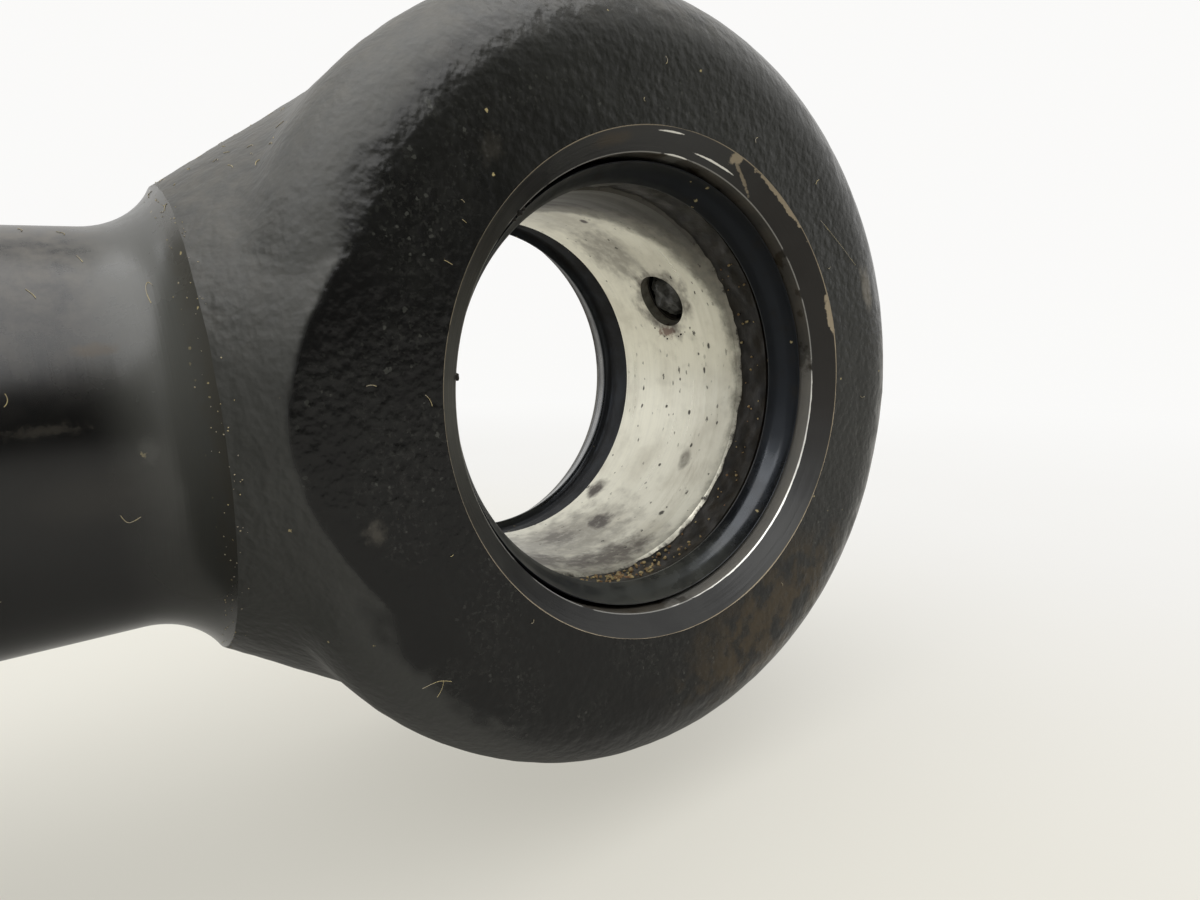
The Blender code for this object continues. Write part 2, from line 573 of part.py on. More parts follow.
def add_piston(parent, metal, rubber):
    section = [(PISTON_REAR, PISTON_RADIUS - PISTON_CHAMFER), (PISTON_REAR + PISTON_CHAMFER, PISTON_RADIUS)]
    for start, end, floor in piston_grooves().values():
        section += [(start, PISTON_RADIUS), (start, floor), (end, floor), (end, PISTON_RADIUS)]
    section += [(PISTON_FRONT - PISTON_CHAMFER, PISTON_RADIUS), (PISTON_FRONT, PISTON_RADIUS - PISTON_CHAMFER)]
    hole = THREAD_RADIUS + FIT_GAP
    start, end, wall = piston_o_ring_groove()
    section += [(PISTON_FRONT, hole), (end, hole), (end, wall), (start, wall), (start, hole), (PISTON_REAR, hole)]
    add_object("piston", turned(section), parent, metal)
    centre = ((start + end) / 2, (THREAD_RADIUS + wall) / 2)
    o_ring = turned(arc(centre, PISTON_O_RING_SECTION / 2, 0, 300, 5))
    add_object("piston_o_ring", o_ring, parent, rubber)


def add_piston_rings(parent, seal_material, rubber, plastic):
    """The rings that ride in the bore and let the piston turn inside them."""
    grooves = piston_grooves()
    for name in ("piston_wear_ring_rear", "piston_wear_ring_front"):
        start, end, floor = grooves[name]
        add_object(name, ring(start + FIT_GAP, end - FIT_GAP, floor + FIT_GAP, SKIRT_RADIUS), parent, plastic)
    start, end, floor = grooves["piston_seal"]
    start += FIT_GAP
    end -= FIT_GAP
    step = floor + FIT_GAP + EXPANDER_THICKNESS
    add_object("piston_seal_expander", ring(start, end, floor + FIT_GAP, step), parent, rubber)
    add_object("piston_seal", ring(start, end, step + FIT_GAP, SKIRT_RADIUS), parent, seal_material)


def add_piston_rod(parent, material):
    """The chromed rod from its weld at the shank to the thread that carries piston and nut."""
    shoulder = PISTON_FRONT + FIT_GAP
    tail = PISTON_REAR - FIT_GAP - NUT_HEIGHT - THREAD_TAIL
    chamfer = THREAD_RADIUS / 8
    outline = [(tail, 0), (tail, THREAD_RADIUS - chamfer), (tail + chamfer, THREAD_RADIUS)]
    outline += [(shoulder, THREAD_RADIUS), (shoulder, ROD_RADIUS - chamfer), (shoulder + chamfer, ROD_RADIUS)]
    outline += [(SHANK_END - FIT_GAP, ROD_RADIUS), (SHANK_END - FIT_GAP, 0)]
    add_object("piston_rod", turned(outline, closed=False), parent, material)


def add_piston_nut(parent, material):
    """A hexagon nut with both faces chamfered, by meeting a hexagon bar with a turned blank."""
    front = PISTON_REAR - FIT_GAP
    rear = front - NUT_HEIGHT
    corner = NUT_ACROSS_FLATS / math.sqrt(3)
    flat = NUT_ACROSS_FLATS / 2
    drop = (corner - flat) / 2
    section = [(rear, flat), (rear + drop, corner), (front - drop, corner), (front, flat)]
    section += [(front, THREAD_RADIUS + FIT_GAP), (rear, THREAD_RADIUS + FIT_GAP)]
    nut = add_object("piston_nut", turned(section), parent, material)
    hexagon = add_object("piston_nut_hexagon", bar(rear - drop, front + drop, corner, steps=6), parent, helper=True)
    combine(nut, hexagon, "INTERSECT")


def centre_on_floor(frame):
    """Moves the whole cylinder so that the origin lies under the middle of its length."""
    bpy.context.view_layer.update()
    graph = bpy.context.evaluated_depsgraph_get()
    reach = []
    for obj in bpy.data.objects:
        if obj.type == "MESH" and not obj.hide_render:
            evaluated = obj.evaluated_get(graph)
            reach += [(evaluated.matrix_world @ Vector(corner)).x for corner in evaluated.bound_box]
    frame.location.x -= (min(reach) + max(reach)) / 2


def main():
    clear_scene()
    black_paint = paint("black paint on forging", (0.03, 0.03, 0.031), 0.5, 0.0)
    barrel_paint = paint("black paint on tube", (0.032, 0.032, 0.034), 0.42, 0.0)
    chrome = paint("hard chrome", (0.75, 0.76, 0.78), 0.15, 1.0)
    bush_steel = paint("worn bush steel", (0.62, 0.6, 0.53), 0.35, 1.0)
    machined = paint("machined steel", (0.5, 0.51, 0.52), 0.35, 1.0)
    zinc = paint("zinc plated steel", (0.6, 0.6, 0.58), 0.3, 1.0)
    rubber = paint("black rubber", (0.02, 0.021, 0.023), 0.35, 0.0)
    polyurethane = paint("blue grey polyurethane", (0.08, 0.13, 0.19), 0.4, 0.0)
    guide_plastic = paint("brown guide ring plastic", (0.2, 0.1, 0.045), 0.5, 0.0)
    backup_plastic = paint("off white backup plastic", (0.75, 0.73, 0.66), 0.45, 0.0)

    barrel = empty("cylinder_frame", (0, 0, AXIS_HEIGHT))
    rings = empty("piston_ring_frame", (0, 0, 0))
    rod = empty("rod_frame", (0, 0, 0))
    rod_pin = empty("rod_pin_frame", (ROD_PIN, 0, 0))
    rings.parent = barrel
    rod.parent = rings
    rod_pin.parent = rod

    add_base_eye(barrel, black_paint)
    add_barrel_tube(barrel, barrel_paint)
    add_port_boss("base_port_boss", BASE_PORT, barrel, barrel_paint)
    add_port_boss("head_port_boss", HEAD_PORT, barrel, barrel_paint)
    add_gland(barrel, barrel_paint)
    add_gland_seals(barrel, polyurethane, guide_plastic, backup_plastic)
    add_bushing("base_bushing", barrel, math.pi - GREASE_ANGLE, bush_steel)
    add_pin_seal("base_pin_seal_left", barrel, -1, rubber)
    add_pin_seal("base_pin_seal_right", barrel, 1, rubber)
    add_grease_fitting("base_grease_fitting", barrel, BASE_RING_RADIUS, math.pi - GREASE_ANGLE, zinc)

    add_piston_rings(rings, polyurethane, rubber, guide_plastic)

    add_piston(rod, machined, rubber)
    add_piston_nut(rod, zinc)
    add_piston_rod(rod, chrome)
    add_rod_eye(rod_pin, black_paint)
    add_bushing("rod_eye_bushing", rod_pin, GREASE_ANGLE, bush_steel)
    add_pin_seal("rod_eye_seal_left", rod_pin, -1, rubber)
    add_pin_seal("rod_eye_seal_right", rod_pin, 1, rubber)
    add_grease_fitting("rod_eye_grease_fitting", rod_pin, ROD_RING_RADIUS, GREASE_ANGLE, zinc)

    centre_on_floor(barrel)


main()
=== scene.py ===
"""Tilt cylinder of a compact loader: fine surfaces and finishes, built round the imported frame.

Lengths are in metres. X runs along the cylinder towards the rod eye, Y along both pin bores, and Z
up from the floor that the cylinder lies on.
"""

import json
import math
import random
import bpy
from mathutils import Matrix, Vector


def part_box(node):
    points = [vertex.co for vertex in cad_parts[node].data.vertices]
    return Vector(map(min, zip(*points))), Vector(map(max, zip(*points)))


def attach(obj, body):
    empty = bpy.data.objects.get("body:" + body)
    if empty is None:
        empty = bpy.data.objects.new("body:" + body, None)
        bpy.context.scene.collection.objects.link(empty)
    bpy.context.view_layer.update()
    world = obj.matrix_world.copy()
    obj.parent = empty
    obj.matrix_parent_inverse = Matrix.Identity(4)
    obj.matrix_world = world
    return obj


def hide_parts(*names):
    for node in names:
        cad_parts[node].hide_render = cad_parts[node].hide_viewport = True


bl_info = {
    "name": "Tilt Cylinder",
    "version": (1, 0, 0),
    "blender": (4, 5, 0),
    "location": "3D View > Sidebar > Tilt Cylinder",
    "description": "Models and finishes a compact loader's tilt cylinder",
    "category": "Object",
}

import bmesh
import bpy
import numpy as np
from bpy.props import FloatProperty, FloatVectorProperty, PointerProperty
from mathutils import Euler, Matrix, Vector, noise

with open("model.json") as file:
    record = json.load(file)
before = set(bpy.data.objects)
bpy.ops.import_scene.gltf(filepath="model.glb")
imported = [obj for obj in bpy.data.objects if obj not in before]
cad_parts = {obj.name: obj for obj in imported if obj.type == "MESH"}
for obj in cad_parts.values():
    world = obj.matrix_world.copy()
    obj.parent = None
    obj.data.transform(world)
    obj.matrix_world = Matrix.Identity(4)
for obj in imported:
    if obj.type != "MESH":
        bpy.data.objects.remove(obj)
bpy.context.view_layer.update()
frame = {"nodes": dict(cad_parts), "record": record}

MM = 0.001
PER_MM = 1000.0
GAP = 0.3 * MM
TAU = math.tau

# How fast the lathe's marks change along each axis: across a turned surface, or the same all ways
ALONG_X = (1.0, 0.02, 0.02)
ALL_WAYS = (1.0, 1.0, 1.0)
ORIGIN = (0.0, 0.0, 0.0)


def middle(node):
    low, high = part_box(node)
    return (low + high) / 2


def reach(node):
    """The first x, the last x and the outer radius of a node that is turned about the cylinder's axis."""
    low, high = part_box(node)
    return low.x, high.x, (high.y - low.y) / 2


ROD_PIN = middle("rod_eye_bushing")
BASE_PIN = middle("base_bushing")
AXIS = ROD_PIN.z
_, TUBE_END, _ = reach("barrel_tube")
GLAND_NOSE, COLLAR_FACE, COLLAR_RADIUS = reach("gland")


def on_axis(x):
    """The point of the cylinder's axis at this x."""
    return Vector((x, 0, AXIS))


def number(name, default, description, **more):
    return FloatProperty(name=name, description=description, default=default, min=0.0, **more)


def length(name, millimetres, description):
    return number(name, millimetres * MM, description, precision=5, unit="LENGTH")


def angle(name, degrees, description):
    return number(name, math.radians(degrees), description, unit="ROTATION")


def colour(name, red, green, blue, description):
    return FloatVectorProperty(
        name=name, description=description, default=(red, green, blue), min=0.0, max=1.0, subtype="COLOR"
    )


class PinJointSizes(bpy.types.PropertyGroup):
    eye_width: length("Eye width", 43.1, "Width of both eyes along the pin")
    pin_bore: length("Pin bore", 38.1, "Inner diameter of the bush")
    bush_wall: length("Bush wall", 1.5875, "Wall of the bush")
    bush_depth: length("Bush depth", 10.8, "From the face of the eye to the edge of the bush")
    mouth_chamfer: length("Mouth chamfer", 1.9, "Chamfer at each mouth of the bore")
    seal_depth: length("Seal depth", 3.1, "From the face of the eye to the front of the seal")
    grease_hole: length("Grease hole", 6.8, "Diameter of the grease drilling")
    grease_angle: angle("Grease angle", 27.0, "Grease drilling above the cylinder's axis")
    seat_radius: length("Fitting seat", 7.0, "Radius of the flat seat of the grease fitting")
    seat_depth: length("Seat depth", 1.2, "Depth of the flat seat below the ring")


class RodEyeSizes(bpy.types.PropertyGroup):
    ring_radius: length("Ring radius", 36.3, "Outer radius of the forged ring")
    ring_rounding: length("Ring rounding", 7.9, "Rounding of the ring's rims")
    neck_angle: angle("Neck angle", 33.3, "Slope of the conical neck")
    neck_inset: length("Neck inset", 0.2, "How far inside the ring the neck's edge runs out")
    fillet_to_pin: length("Fillet to pin", 35.9, "From the pin to where the lathe's fillet ends")
    rod_diameter: length("Shank diameter", 31.75, "Diameter of the turned shank")
    fillet: length("Shank fillet", 6.0, "Radius of the lathe's fillet at the neck")
    shank_length: length("Shank length", 61.0, "From the pin to the end of the shank")
    skin: length("Skin mesh", 0.52, "Mesh size of the forged skin")
    lumps: length("Lumps", 0.06, "Depth of the broad unevenness of the forging")
    bumps: length("Bumps", 0.04, "Depth of the small bumps of the forging")


class BaseEyeSizes(bpy.types.PropertyGroup):
    ring_radius: length("Ring radius", 42.0, "Outer radius of the forged ring")
    ring_rounding: length("Ring rounding", 8.0, "Rounding of the ring's rims")
    neck_rounding: length("Neck rounding", 6.0, "Rounding of the neck's long edges")
    cap_to_pin: length("Cap to pin", 56.0, "From the pin to the face of the end cap")
    cap_thickness: length("Cap thickness", 12.0, "Thickness of the end cap")
    spigot_length: length("Spigot length", 32.0, "Length of the spigot in the tube")
    recess_radius: length("Recess radius", 24.0, "Radius of the recess for the piston nut")
    recess_depth: length("Recess depth", 24.0, "Depth of the recess for the piston nut")
    skin: length("Skin mesh", 0.75, "Mesh size of the forged skin")


class BarrelSizes(bpy.types.PropertyGroup):
    bore: length("Bore", 63.5, "Bore of the tube")
    wall: length("Wall", 6.35, "Wall of the tube")
    weld_crown: length("Weld crown", 1.8, "Height of the cap's weld bead")
    weld_half_width: length("Weld half width", 4.5, "Half the width of the cap's weld bead")
    weld_chamfer: length("Weld chamfer", 4.0, "Weld preparation on the end cap")
    ripple_pitch: length("Ripple pitch", 2.3, "Pitch of the weld's ripples")
    ripple_depth: length("Ripple depth", 0.22, "Depth of the weld's ripples")
    boss_radius: length("Port boss radius", 17.0, "Radius of both port bosses")
    boss_height: length("Port boss height", 14.0, "Height of the port bosses above the tube")
    port_bore: length("Port bore", 17.5, "Bore of the ports")
    port_depth: length("Port depth", 12.5, "Depth of the ports")
    port_seat: length("Port seat", 27.0, "Diameter of the sealing seat round each port")
    seat_depth: length("Seat depth", 0.8, "Depth of the sealing seat")
    drilling: length("Drilling", 9.0, "Diameter of the oil drilling under each port")
    weld_leg: length("Weld leg", 4.0, "Leg of the fillet weld round each boss")


class GlandSizes(bpy.types.PropertyGroup):
    nose_radius: length("Nose radius", 26.5, "Radius of the gland's nose")
    nose_length: length("Nose length", 13.0, "Length of the gland's nose")
    collar_thickness: length("Collar thickness", 16.0, "Thickness of the collar")
    edge: length("Edge chamfer", 1.5, "Chamfer on the collar's edges")
    notch_width: length("Notch width", 9.0, "Width of the spanner notches")
    notch_depth: length("Notch depth", 4.5, "Depth of the spanner notches")


class Finishes(bpy.types.PropertyGroup):
    paint: colour("Paint", 0.0026, 0.0026, 0.0024, "Satin black paint")
    # Worn grey paint, also used for painted highlights on the forgings and a painted sheen on the seals
    worn_paint_and_highlight: colour("Worn paint", 0.045, 0.046, 0.040, "Paint rubbed grey on high spots")
    brown_film: colour("Brown film", 0.045, 0.031, 0.014, "Dried oil on the paint")
    dust: colour("Dust", 0.20, 0.18, 0.145, "Fine dust on upper surfaces")
    straw: colour("Straw", 0.46, 0.38, 0.19, "Yellowish crumbs and specks")
    primer: colour("Primer", 0.34, 0.28, 0.19, "Tan layer under chipped paint")
    bare_steel: colour("Bare steel", 0.74, 0.73, 0.68, "Bright rubbed steel")
    bush_steel: colour("Bush steel", 0.72, 0.70, 0.59, "Bright worn bore of the bush")
    land_film: colour("Land film", 0.032, 0.025, 0.016, "Old grease on the bore's land")
    rubber: colour("Rubber", 0.006, 0.0065, 0.0075, "Black seal rubber")
    grime: colour("Grime", 0.015, 0.0115, 0.0075, "Brown grease and dirt")
    grease: colour("Grease", 0.10, 0.10, 0.092, "Grey used grease")
    rust: colour("Rust", 0.15, 0.075, 0.032, "Orange brown crumbs")
    chrome: colour("Chrome", 0.63, 0.64, 0.66, "Hard chrome on the rod")
    zinc: colour("Zinc", 0.52, 0.50, 0.42, "Zinc plating with a yellow tint")
    polyurethane: colour("Polyurethane", 0.07, 0.12, 0.18, "Blue grey seal plastic")
    guide_plastic: colour("Guide plastic", 0.2, 0.1, 0.045, "Brown fabric-filled resin")
    backup_plastic: colour("Backup plastic", 0.70, 0.68, 0.61, "Off-white ring plastic")
    floor: colour("Floor", 0.49, 0.48, 0.445, "Pale studio floor")


class StudioSettings(bpy.types.PropertyGroup):
    overhead: number("Overhead", 2.6, "Radiance of the overhead panel")
    side: number("Side", 2.0, "Radiance of the panel at the rod's side")
    surround: number("Surround", 0.95, "Radiance of the bright surround")
    camera_side: number("Camera side", 0.02, "Radiance of the surround behind the camera", subtype="FACTOR")
    lens: number("Lens", 22.81, "Focal length on 36 mm", unit="CAMERA")


class TiltCylinderSettings(bpy.types.PropertyGroup):
    pin: PointerProperty(type=PinJointSizes, name="Pin joints", description="Sizes of both pin joints")
    rod_eye: PointerProperty(type=RodEyeSizes, name="Rod eye", description="Sizes of the forged rod eye")
    base_eye: PointerProperty(type=BaseEyeSizes, name="Base eye", description="Sizes of the forged base eye")
    barrel: PointerProperty(type=BarrelSizes, name="Barrel", description="Sizes of the tube and ports")
    gland: PointerProperty(type=GlandSizes, name="Gland", description="Sizes of the gland")
    finish: PointerProperty(type=Finishes, name="Finishes", description="Colours of every finish")
    studio: PointerProperty(type=StudioSettings, name="Studio", description="Light and camera")


def settings():
    return bpy.context.scene.tilt_cylinder


# Mesh tools


def spun(outline, steps):
    """A bmesh turned about X from (x, radius) points: a solid's profile from the axis or a ring's section."""
    shape = bmesh.new()
    verts = [shape.verts.new((x, 0, radius)) for x, radius in outline]
    edges = [shape.edges.new(pair) for pair in zip(verts, verts[1:])]
    is_ring = outline[0][1] > 0
    if is_ring:
        edges.append(shape.edges.new((verts[-1], verts[0])))
    bmesh.ops.spin(
        shape, geom=verts + edges, cent=(0, 0, 0), axis=(1, 0, 0), angle=TAU, steps=steps, use_merge=True
    )
    bmesh.ops.remove_doubles(shape, verts=shape.verts, dist=1e-7)
    bmesh.ops.recalc_face_normals(shape, faces=shape.faces)
    return shape


def in_mm(points, x=0.0, radius=0.0):
    """Points given in millimetres, counted from a place in metres."""
    return [(x + along * MM, radius + up * MM) for along, up in points]


def laid(shape, centre, along="X", tilt=0.0):
    """Turns a shape made along X to lie along X, Y or Z, tilts it above X, and moves it to the centre."""
    turns = {"X": Matrix(), "Y": Matrix.Rotation(TAU / 4, 4, "Z"), "Z": Matrix.Rotation(-TAU / 4, 4, "Y")}
    matrix = Matrix.Translation(centre) @ Matrix.Rotation(-tilt, 4, "Y") @ turns[along]
    bmesh.ops.transform(shape, matrix=matrix, verts=shape.verts)
    return shape


def arc(centre, radius, start, end, steps=12):
    """Points on an arc in the (x, radius) plane, from the start angle to the end angle in degrees."""
    angles = [math.radians(start + (end - start) * i / steps) for i in range(steps + 1)]
    return [(centre[0] + radius * math.cos(a), centre[1] + radius * math.sin(a)) for a in angles]


def eased(points, steps=5):
    """The same outline drawn as one smooth curve through its points."""
    count = len(points)
    curve = []
    for i in range(count - 1):
        before, start, end, after = (Vector(points[min(max(i + k, 0), count - 1)]) for k in (-1, 0, 1, 2))
        for step in range(steps):
            t = step / steps
            pull = (end - before) * t + (2 * before - 5 * start + 4 * end - after) * t * t
            pull += (3 * start - before - 3 * end + after) * t * t * t
            curve.append(tuple(start + pull / 2))
    return curve + [tuple(points[-1])]


def bar(start, end, radius, steps=64):
    return spun([(start, 0), (start, radius), (end, radius), (end, 0)], steps)


def block(low, high):
    """A box between two corners."""
    shape = bmesh.new()
    bmesh.ops.create_cube(shape, size=1)
    bmesh.ops.scale(shape, verts=shape.verts, vec=Vector(high) - Vector(low))
    bmesh.ops.translate(shape, verts=shape.verts, vec=(Vector(high) + Vector(low)) / 2)
    return shape


def working(name, shape, finishes=(), finish=0):
    """An object of this bmesh, with every face in one of the finishes; the bmesh is used up."""
    for face in shape.faces:
        face.material_index = finish
    mesh = bpy.data.meshes.new(name)
    shape.to_mesh(mesh)
    shape.free()
    for material in finishes:
        mesh.materials.append(material)
    obj = bpy.data.objects.new(name, mesh)
    bpy.context.scene.collection.objects.link(obj)
    return obj


def joined(shapes):
    """One bmesh that holds the faces of several."""
    whole = bmesh.new()
    for shape in shapes:
        part = bpy.data.meshes.new("part")
        shape.to_mesh(part)
        shape.free()
        whole.from_mesh(part)
        bpy.data.meshes.remove(part)
    return whole


def applied(obj):
    """Applies the object's modifiers to its mesh."""
    bpy.context.view_layer.update()
    graph = bpy.context.evaluated_depsgraph_get()
    mesh = bpy.data.meshes.new_from_object(obj.evaluated_get(graph))
    old = obj.data
    obj.modifiers.clear()
    obj.data = mesh
    bpy.data.meshes.remove(old)
    return obj


def combined(obj, others, operation):
    """Cuts, joins or meets the object with others, which are used up."""
    for other in others:
        modifier = obj.modifiers.new(other.name, "BOOLEAN")
        modifier.operation = operation
        modifier.solver = "MANIFOLD"
        modifier.object = other
    applied(obj)
    for other in others:
        bpy.data.objects.remove(other)
    return obj


def shaded(obj, limit):
    """Smooth faces with crisp edges where they turn sharply or where one finish meets another."""
    mesh = obj.data
    mesh.shade_smooth()
    mesh.set_sharp_from_angle(angle=math.radians(limit))
    shape = bmesh.new()
    shape.from_mesh(mesh)
    for edge in shape.edges:
        if len({face.material_index for face in edge.link_faces}) > 1:
            edge.smooth = False
    shape.to_mesh(mesh)
    shape.free()


def fitted(obj, body, replaced=(), edge=0.0, limit=35.0):
    """Finishes a piece: shading, a small edge rounding, its body and the nodes it stands for."""
    shaded(obj, limit)
    if edge:
        modifier = obj.modifiers.new("edge", "BEVEL")
        modifier.limit_method = "ANGLE"
        modifier.angle_limit = math.radians(limit)
        modifier.width = edge
        modifier.segments = 2
        modifier.harden_normals = True
    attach(obj, body)
    if replaced:
        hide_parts(*replaced)
    return obj


def vertex_arrays(mesh):
    count = len(mesh.vertices)
    places = np.zeros(count * 3)
    facings = np.zeros(count * 3)
    mesh.vertices.foreach_get("co", places)
    mesh.vertex_normals.foreach_get("vector", facings)
    return places.reshape(-1, 3), facings.reshape(-1, 3)


def moved_out(mesh, places, facings, offsets):
    mesh.vertices.foreach_set("co", (places + facings * offsets[:, None]).ravel())
    mesh.update()


def field(places, wavelength, lie=(1.0, 1.0, 1.0)):
    """Smooth noise from -1 to 1 at each place; the lie stretches it along an axis where it is small."""
    scaled = places * (np.array(lie) / wavelength)
    return np.array([noise.noise(Vector(place)) for place in scaled])


# Shader tools


class Wiring:
    """Adds nodes to one tree and links them. A value is a socket, a number, a vector or a colour."""

    def __init__(self, tree):
        self.tree = tree

    def feed(self, socket, value):
        if isinstance(value, bpy.types.NodeSocket):
            self.tree.links.new(value, socket)
        elif socket.type == "RGBA" and len(value) == 3:
            socket.default_value = (*value, 1)
        else:
            socket.default_value = value

    def add(self, kind, values=None, **choices):
        node = self.tree.nodes.new("ShaderNode" + kind)
        for name, choice in choices.items():
            setattr(node, name, choice)
        for name, value in (values or {}).items():
            self.feed(node.inputs[name], value)
        return node

    def maths(self, operation, first, second=0.0, third=0.0):
        return self.add("Math", {0: first, 1: second, 2: third}, operation=operation).outputs[0]

    def minus(self, first, second):
        return self.maths("SUBTRACT", first, second)

    def plus(self, value, added, times=1.0):
        """The value, times a number or a socket, plus another value."""
        return self.maths("MULTIPLY_ADD", value, times, added)

    def folded(self, operation, values):
        result = values[0]
        for value in values[1:]:
            result = self.maths(operation, result, value)
        return result

    def product(self, *values):
        return self.folded("MULTIPLY", values)

    def most(self, *values):
        return self.folded("MAXIMUM", values)

    def vectors(self, operation, first, second):
        return self.add("VectorMath", {0: first, 1: second}, operation=operation).outputs[0]

    def distance(self, vector):
        return self.add("VectorMath", {0: vector}, operation="LENGTH").outputs["Value"]

    def parts(self, vector):
        """The x, y and z of a vector."""
        return self.add("SeparateXYZ", {0: vector}).outputs

    def degrees(self, up, along):
        return self.maths("DEGREES", self.maths("ARCTAN2", up, along))

    def span(self, value, low, high, to_low=0.0, to_high=1.0):
        """The value eased from one range to another, and held at its ends."""
        values = {"Value": value, "From Min": low, "From Max": high, "To Min": to_low, "To Max": to_high}
        return self.add("MapRange", values, interpolation_type="SMOOTHSTEP").outputs["Result"]

    def mix(self, factor, first, second):
        return self.add("Mix", {0: factor, 6: first, 7: second}, data_type="RGBA").outputs[2]

    def over(self, tone, colour, *masks):
        """The tone with a colour laid over it, as far as the masks and shares together let it."""
        return self.mix(self.product(*masks), tone, colour)

    def noise(self, where, scale, detail=2.0, roughness=0.5):
        values = {"Vector": where, "Scale": scale, "Detail": detail, "Roughness": roughness}
        return self.add("TexNoise", values).outputs["Fac"]

    def bump(self, height, millimetres):
        values = {"Height": height, "Distance": millimetres * MM, "Strength": 1.0}
        return self.add("Bump", values).outputs["Normal"]

    def group(self, name, values):
        node = self.tree.nodes.new("ShaderNodeGroup")
        node.node_tree = bpy.data.node_groups[name]
        for socket, value in values.items():
            self.feed(node.inputs[socket], value)
        return node.outputs

    def specks(self, where, scale, share, size):
        return self.group("Specks", {"Where": where, "Scale": scale, "Share": share, "Size": size})["Mask"]

    def dust(self, where, facing, amount, scale):
        values = {"Where": where, "Facing": facing, "Amount": amount, "Scale": scale}
        return self.group("Settled dust", values)["Mask"]

    def ridges(self, where, along, scale):
        return self.group("Turning marks", {"Where": where, "Along": along, "Scale": scale})["Height"]


def new_group(name, inputs, outputs):
    """A node group with these inputs, as vectors or numbers, and number outputs; its wiring and sockets."""
    tree = bpy.data.node_groups.new(name, "ShaderNodeTree")
    for label, default in inputs.items():
        kind = "NodeSocketVector" if isinstance(default, tuple) else "NodeSocketFloat"
        tree.interface.new_socket(label, in_out="INPUT", socket_type=kind).default_value = default
    for label in outputs:
        tree.interface.new_socket(label, in_out="OUTPUT", socket_type="NodeSocketFloat")
    entry = tree.nodes.new("NodeGroupInput")
    leave = tree.nodes.new("NodeGroupOutput")
    return Wiring(tree), entry.outputs, leave.inputs


def make_place_group():
    """Where a point lies about a pin: degrees above X, millimetres from the axis and from the near face."""
    wires, given, out = new_group(
        "Place round a pin",
        {"Where": ORIGIN, "Pin": ORIGIN, "Half Width": 0.02},
        ("Degrees", "Radius", "Depth"),
    )
    x, y, z = wires.parts(wires.vectors("SUBTRACT", given["Where"], given["Pin"]))
    flat = wires.add("CombineXYZ", {"X": x, "Z": z}).outputs[0]
    wires.feed(out["Degrees"], wires.degrees(z, x))
    wires.feed(out["Radius"], wires.product(wires.distance(flat), PER_MM))
    wires.feed(out["Depth"], wires.product(wires.plus(y, given["Half Width"]), PER_MM))


def make_mark_group():
    """A ragged oval mark in a plane of two coordinates."""
    wires, given, out = new_group(
        "Ragged mark",
        {
            "Where": ORIGIN, "Along": 0.0, "Across": 0.0, "Along Centre": 0.0, "Across Centre": 0.0,
            "Along Half": 1.0, "Across Half": 1.0, "Ragged": 0.5, "Ragged Scale": 900.0, "Softness": 0.3,
        },
        ("Mask",),
    )
    squares = []
    for way in ("Along", "Across"):
        offset = wires.minus(given[way], given[way + " Centre"])
        offset = wires.maths("DIVIDE", offset, given[way + " Half"])
        squares.append(wires.product(offset, offset))
    distance = wires.maths("SQRT", wires.plus(*squares))
    rough = wires.minus(wires.noise(given["Where"], given["Ragged Scale"], 3.0, 0.6), 0.5)
    ragged = wires.plus(rough, distance, wires.product(given["Ragged"], 2.0))
    low = wires.minus(1.0, given["Softness"])
    high = wires.plus(1.0, given["Softness"])
    wires.feed(out["Mask"], wires.span(ragged, low, high, 1.0, 0.0))


def make_skin_group():
    """Height of a forged skin: short rounded bumps on a coarser unevenness."""
    wires, given, out = new_group(
        "Forged skin", {"Where": ORIGIN, "Grain": 1500.0, "Lie": (1.0, 1.0, 1.0)}, ("Height", "Peaks")
    )
    lain = wires.vectors("MULTIPLY", given["Where"], given["Lie"])
    cells = wires.add(
        "TexVoronoi", {"Vector": lain, "Scale": wires.product(given["Grain"], 0.8)},
        feature="SMOOTH_F1", voronoi_dimensions="3D",
    ).outputs["Distance"]
    height = wires.plus(cells, wires.noise(lain, given["Grain"], 1.5), -0.45)
    wires.feed(out["Height"], height)
    wires.feed(out["Peaks"], wires.span(height, 0.28, 0.5))


def make_dust_group():
    """Dust that has settled on what faces up, thin in places."""
    wires, given, out = new_group(
        "Settled dust", {"Where": ORIGIN, "Facing": (0.0, 0.0, 1.0), "Amount": 0.5, "Scale": 220.0}, ("Mask",)
    )
    _, _, up = wires.parts(given["Facing"])
    patchy = wires.noise(given["Where"], given["Scale"], 4.0, 0.65)
    settled = wires.product(wires.span(up, 0.05, 1.0), wires.span(patchy, 0.2, 0.8), given["Amount"])
    wires.feed(out["Mask"], settled)


def make_speck_group():
    """Scattered specks: a share of the cells holds one, of the given size in cells."""
    wires, given, out = new_group(
        "Specks", {"Where": ORIGIN, "Scale": 300.0, "Share": 0.3, "Size": 0.1}, ("Mask",)
    )
    size = given["Size"]
    spread = {"Vector": given["Where"], "Scale": given["Scale"]}
    cells = wires.add("TexVoronoi", spread, voronoi_dimensions="3D")
    chance = wires.add("SeparateColor", {0: cells.outputs["Color"]}).outputs[0]
    chosen = wires.maths("LESS_THAN", chance, given["Share"])
    rough = wires.minus(wires.noise(given["Where"], 3800.0, 2.0, 0.6), 0.5)
    uneven = wires.plus(rough, cells.outputs["Distance"], wires.product(size, 2.6))
    near = wires.span(uneven, wires.product(size, 0.6), size, 1.0, 0.0)
    wires.feed(out["Mask"], wires.product(chosen, near))


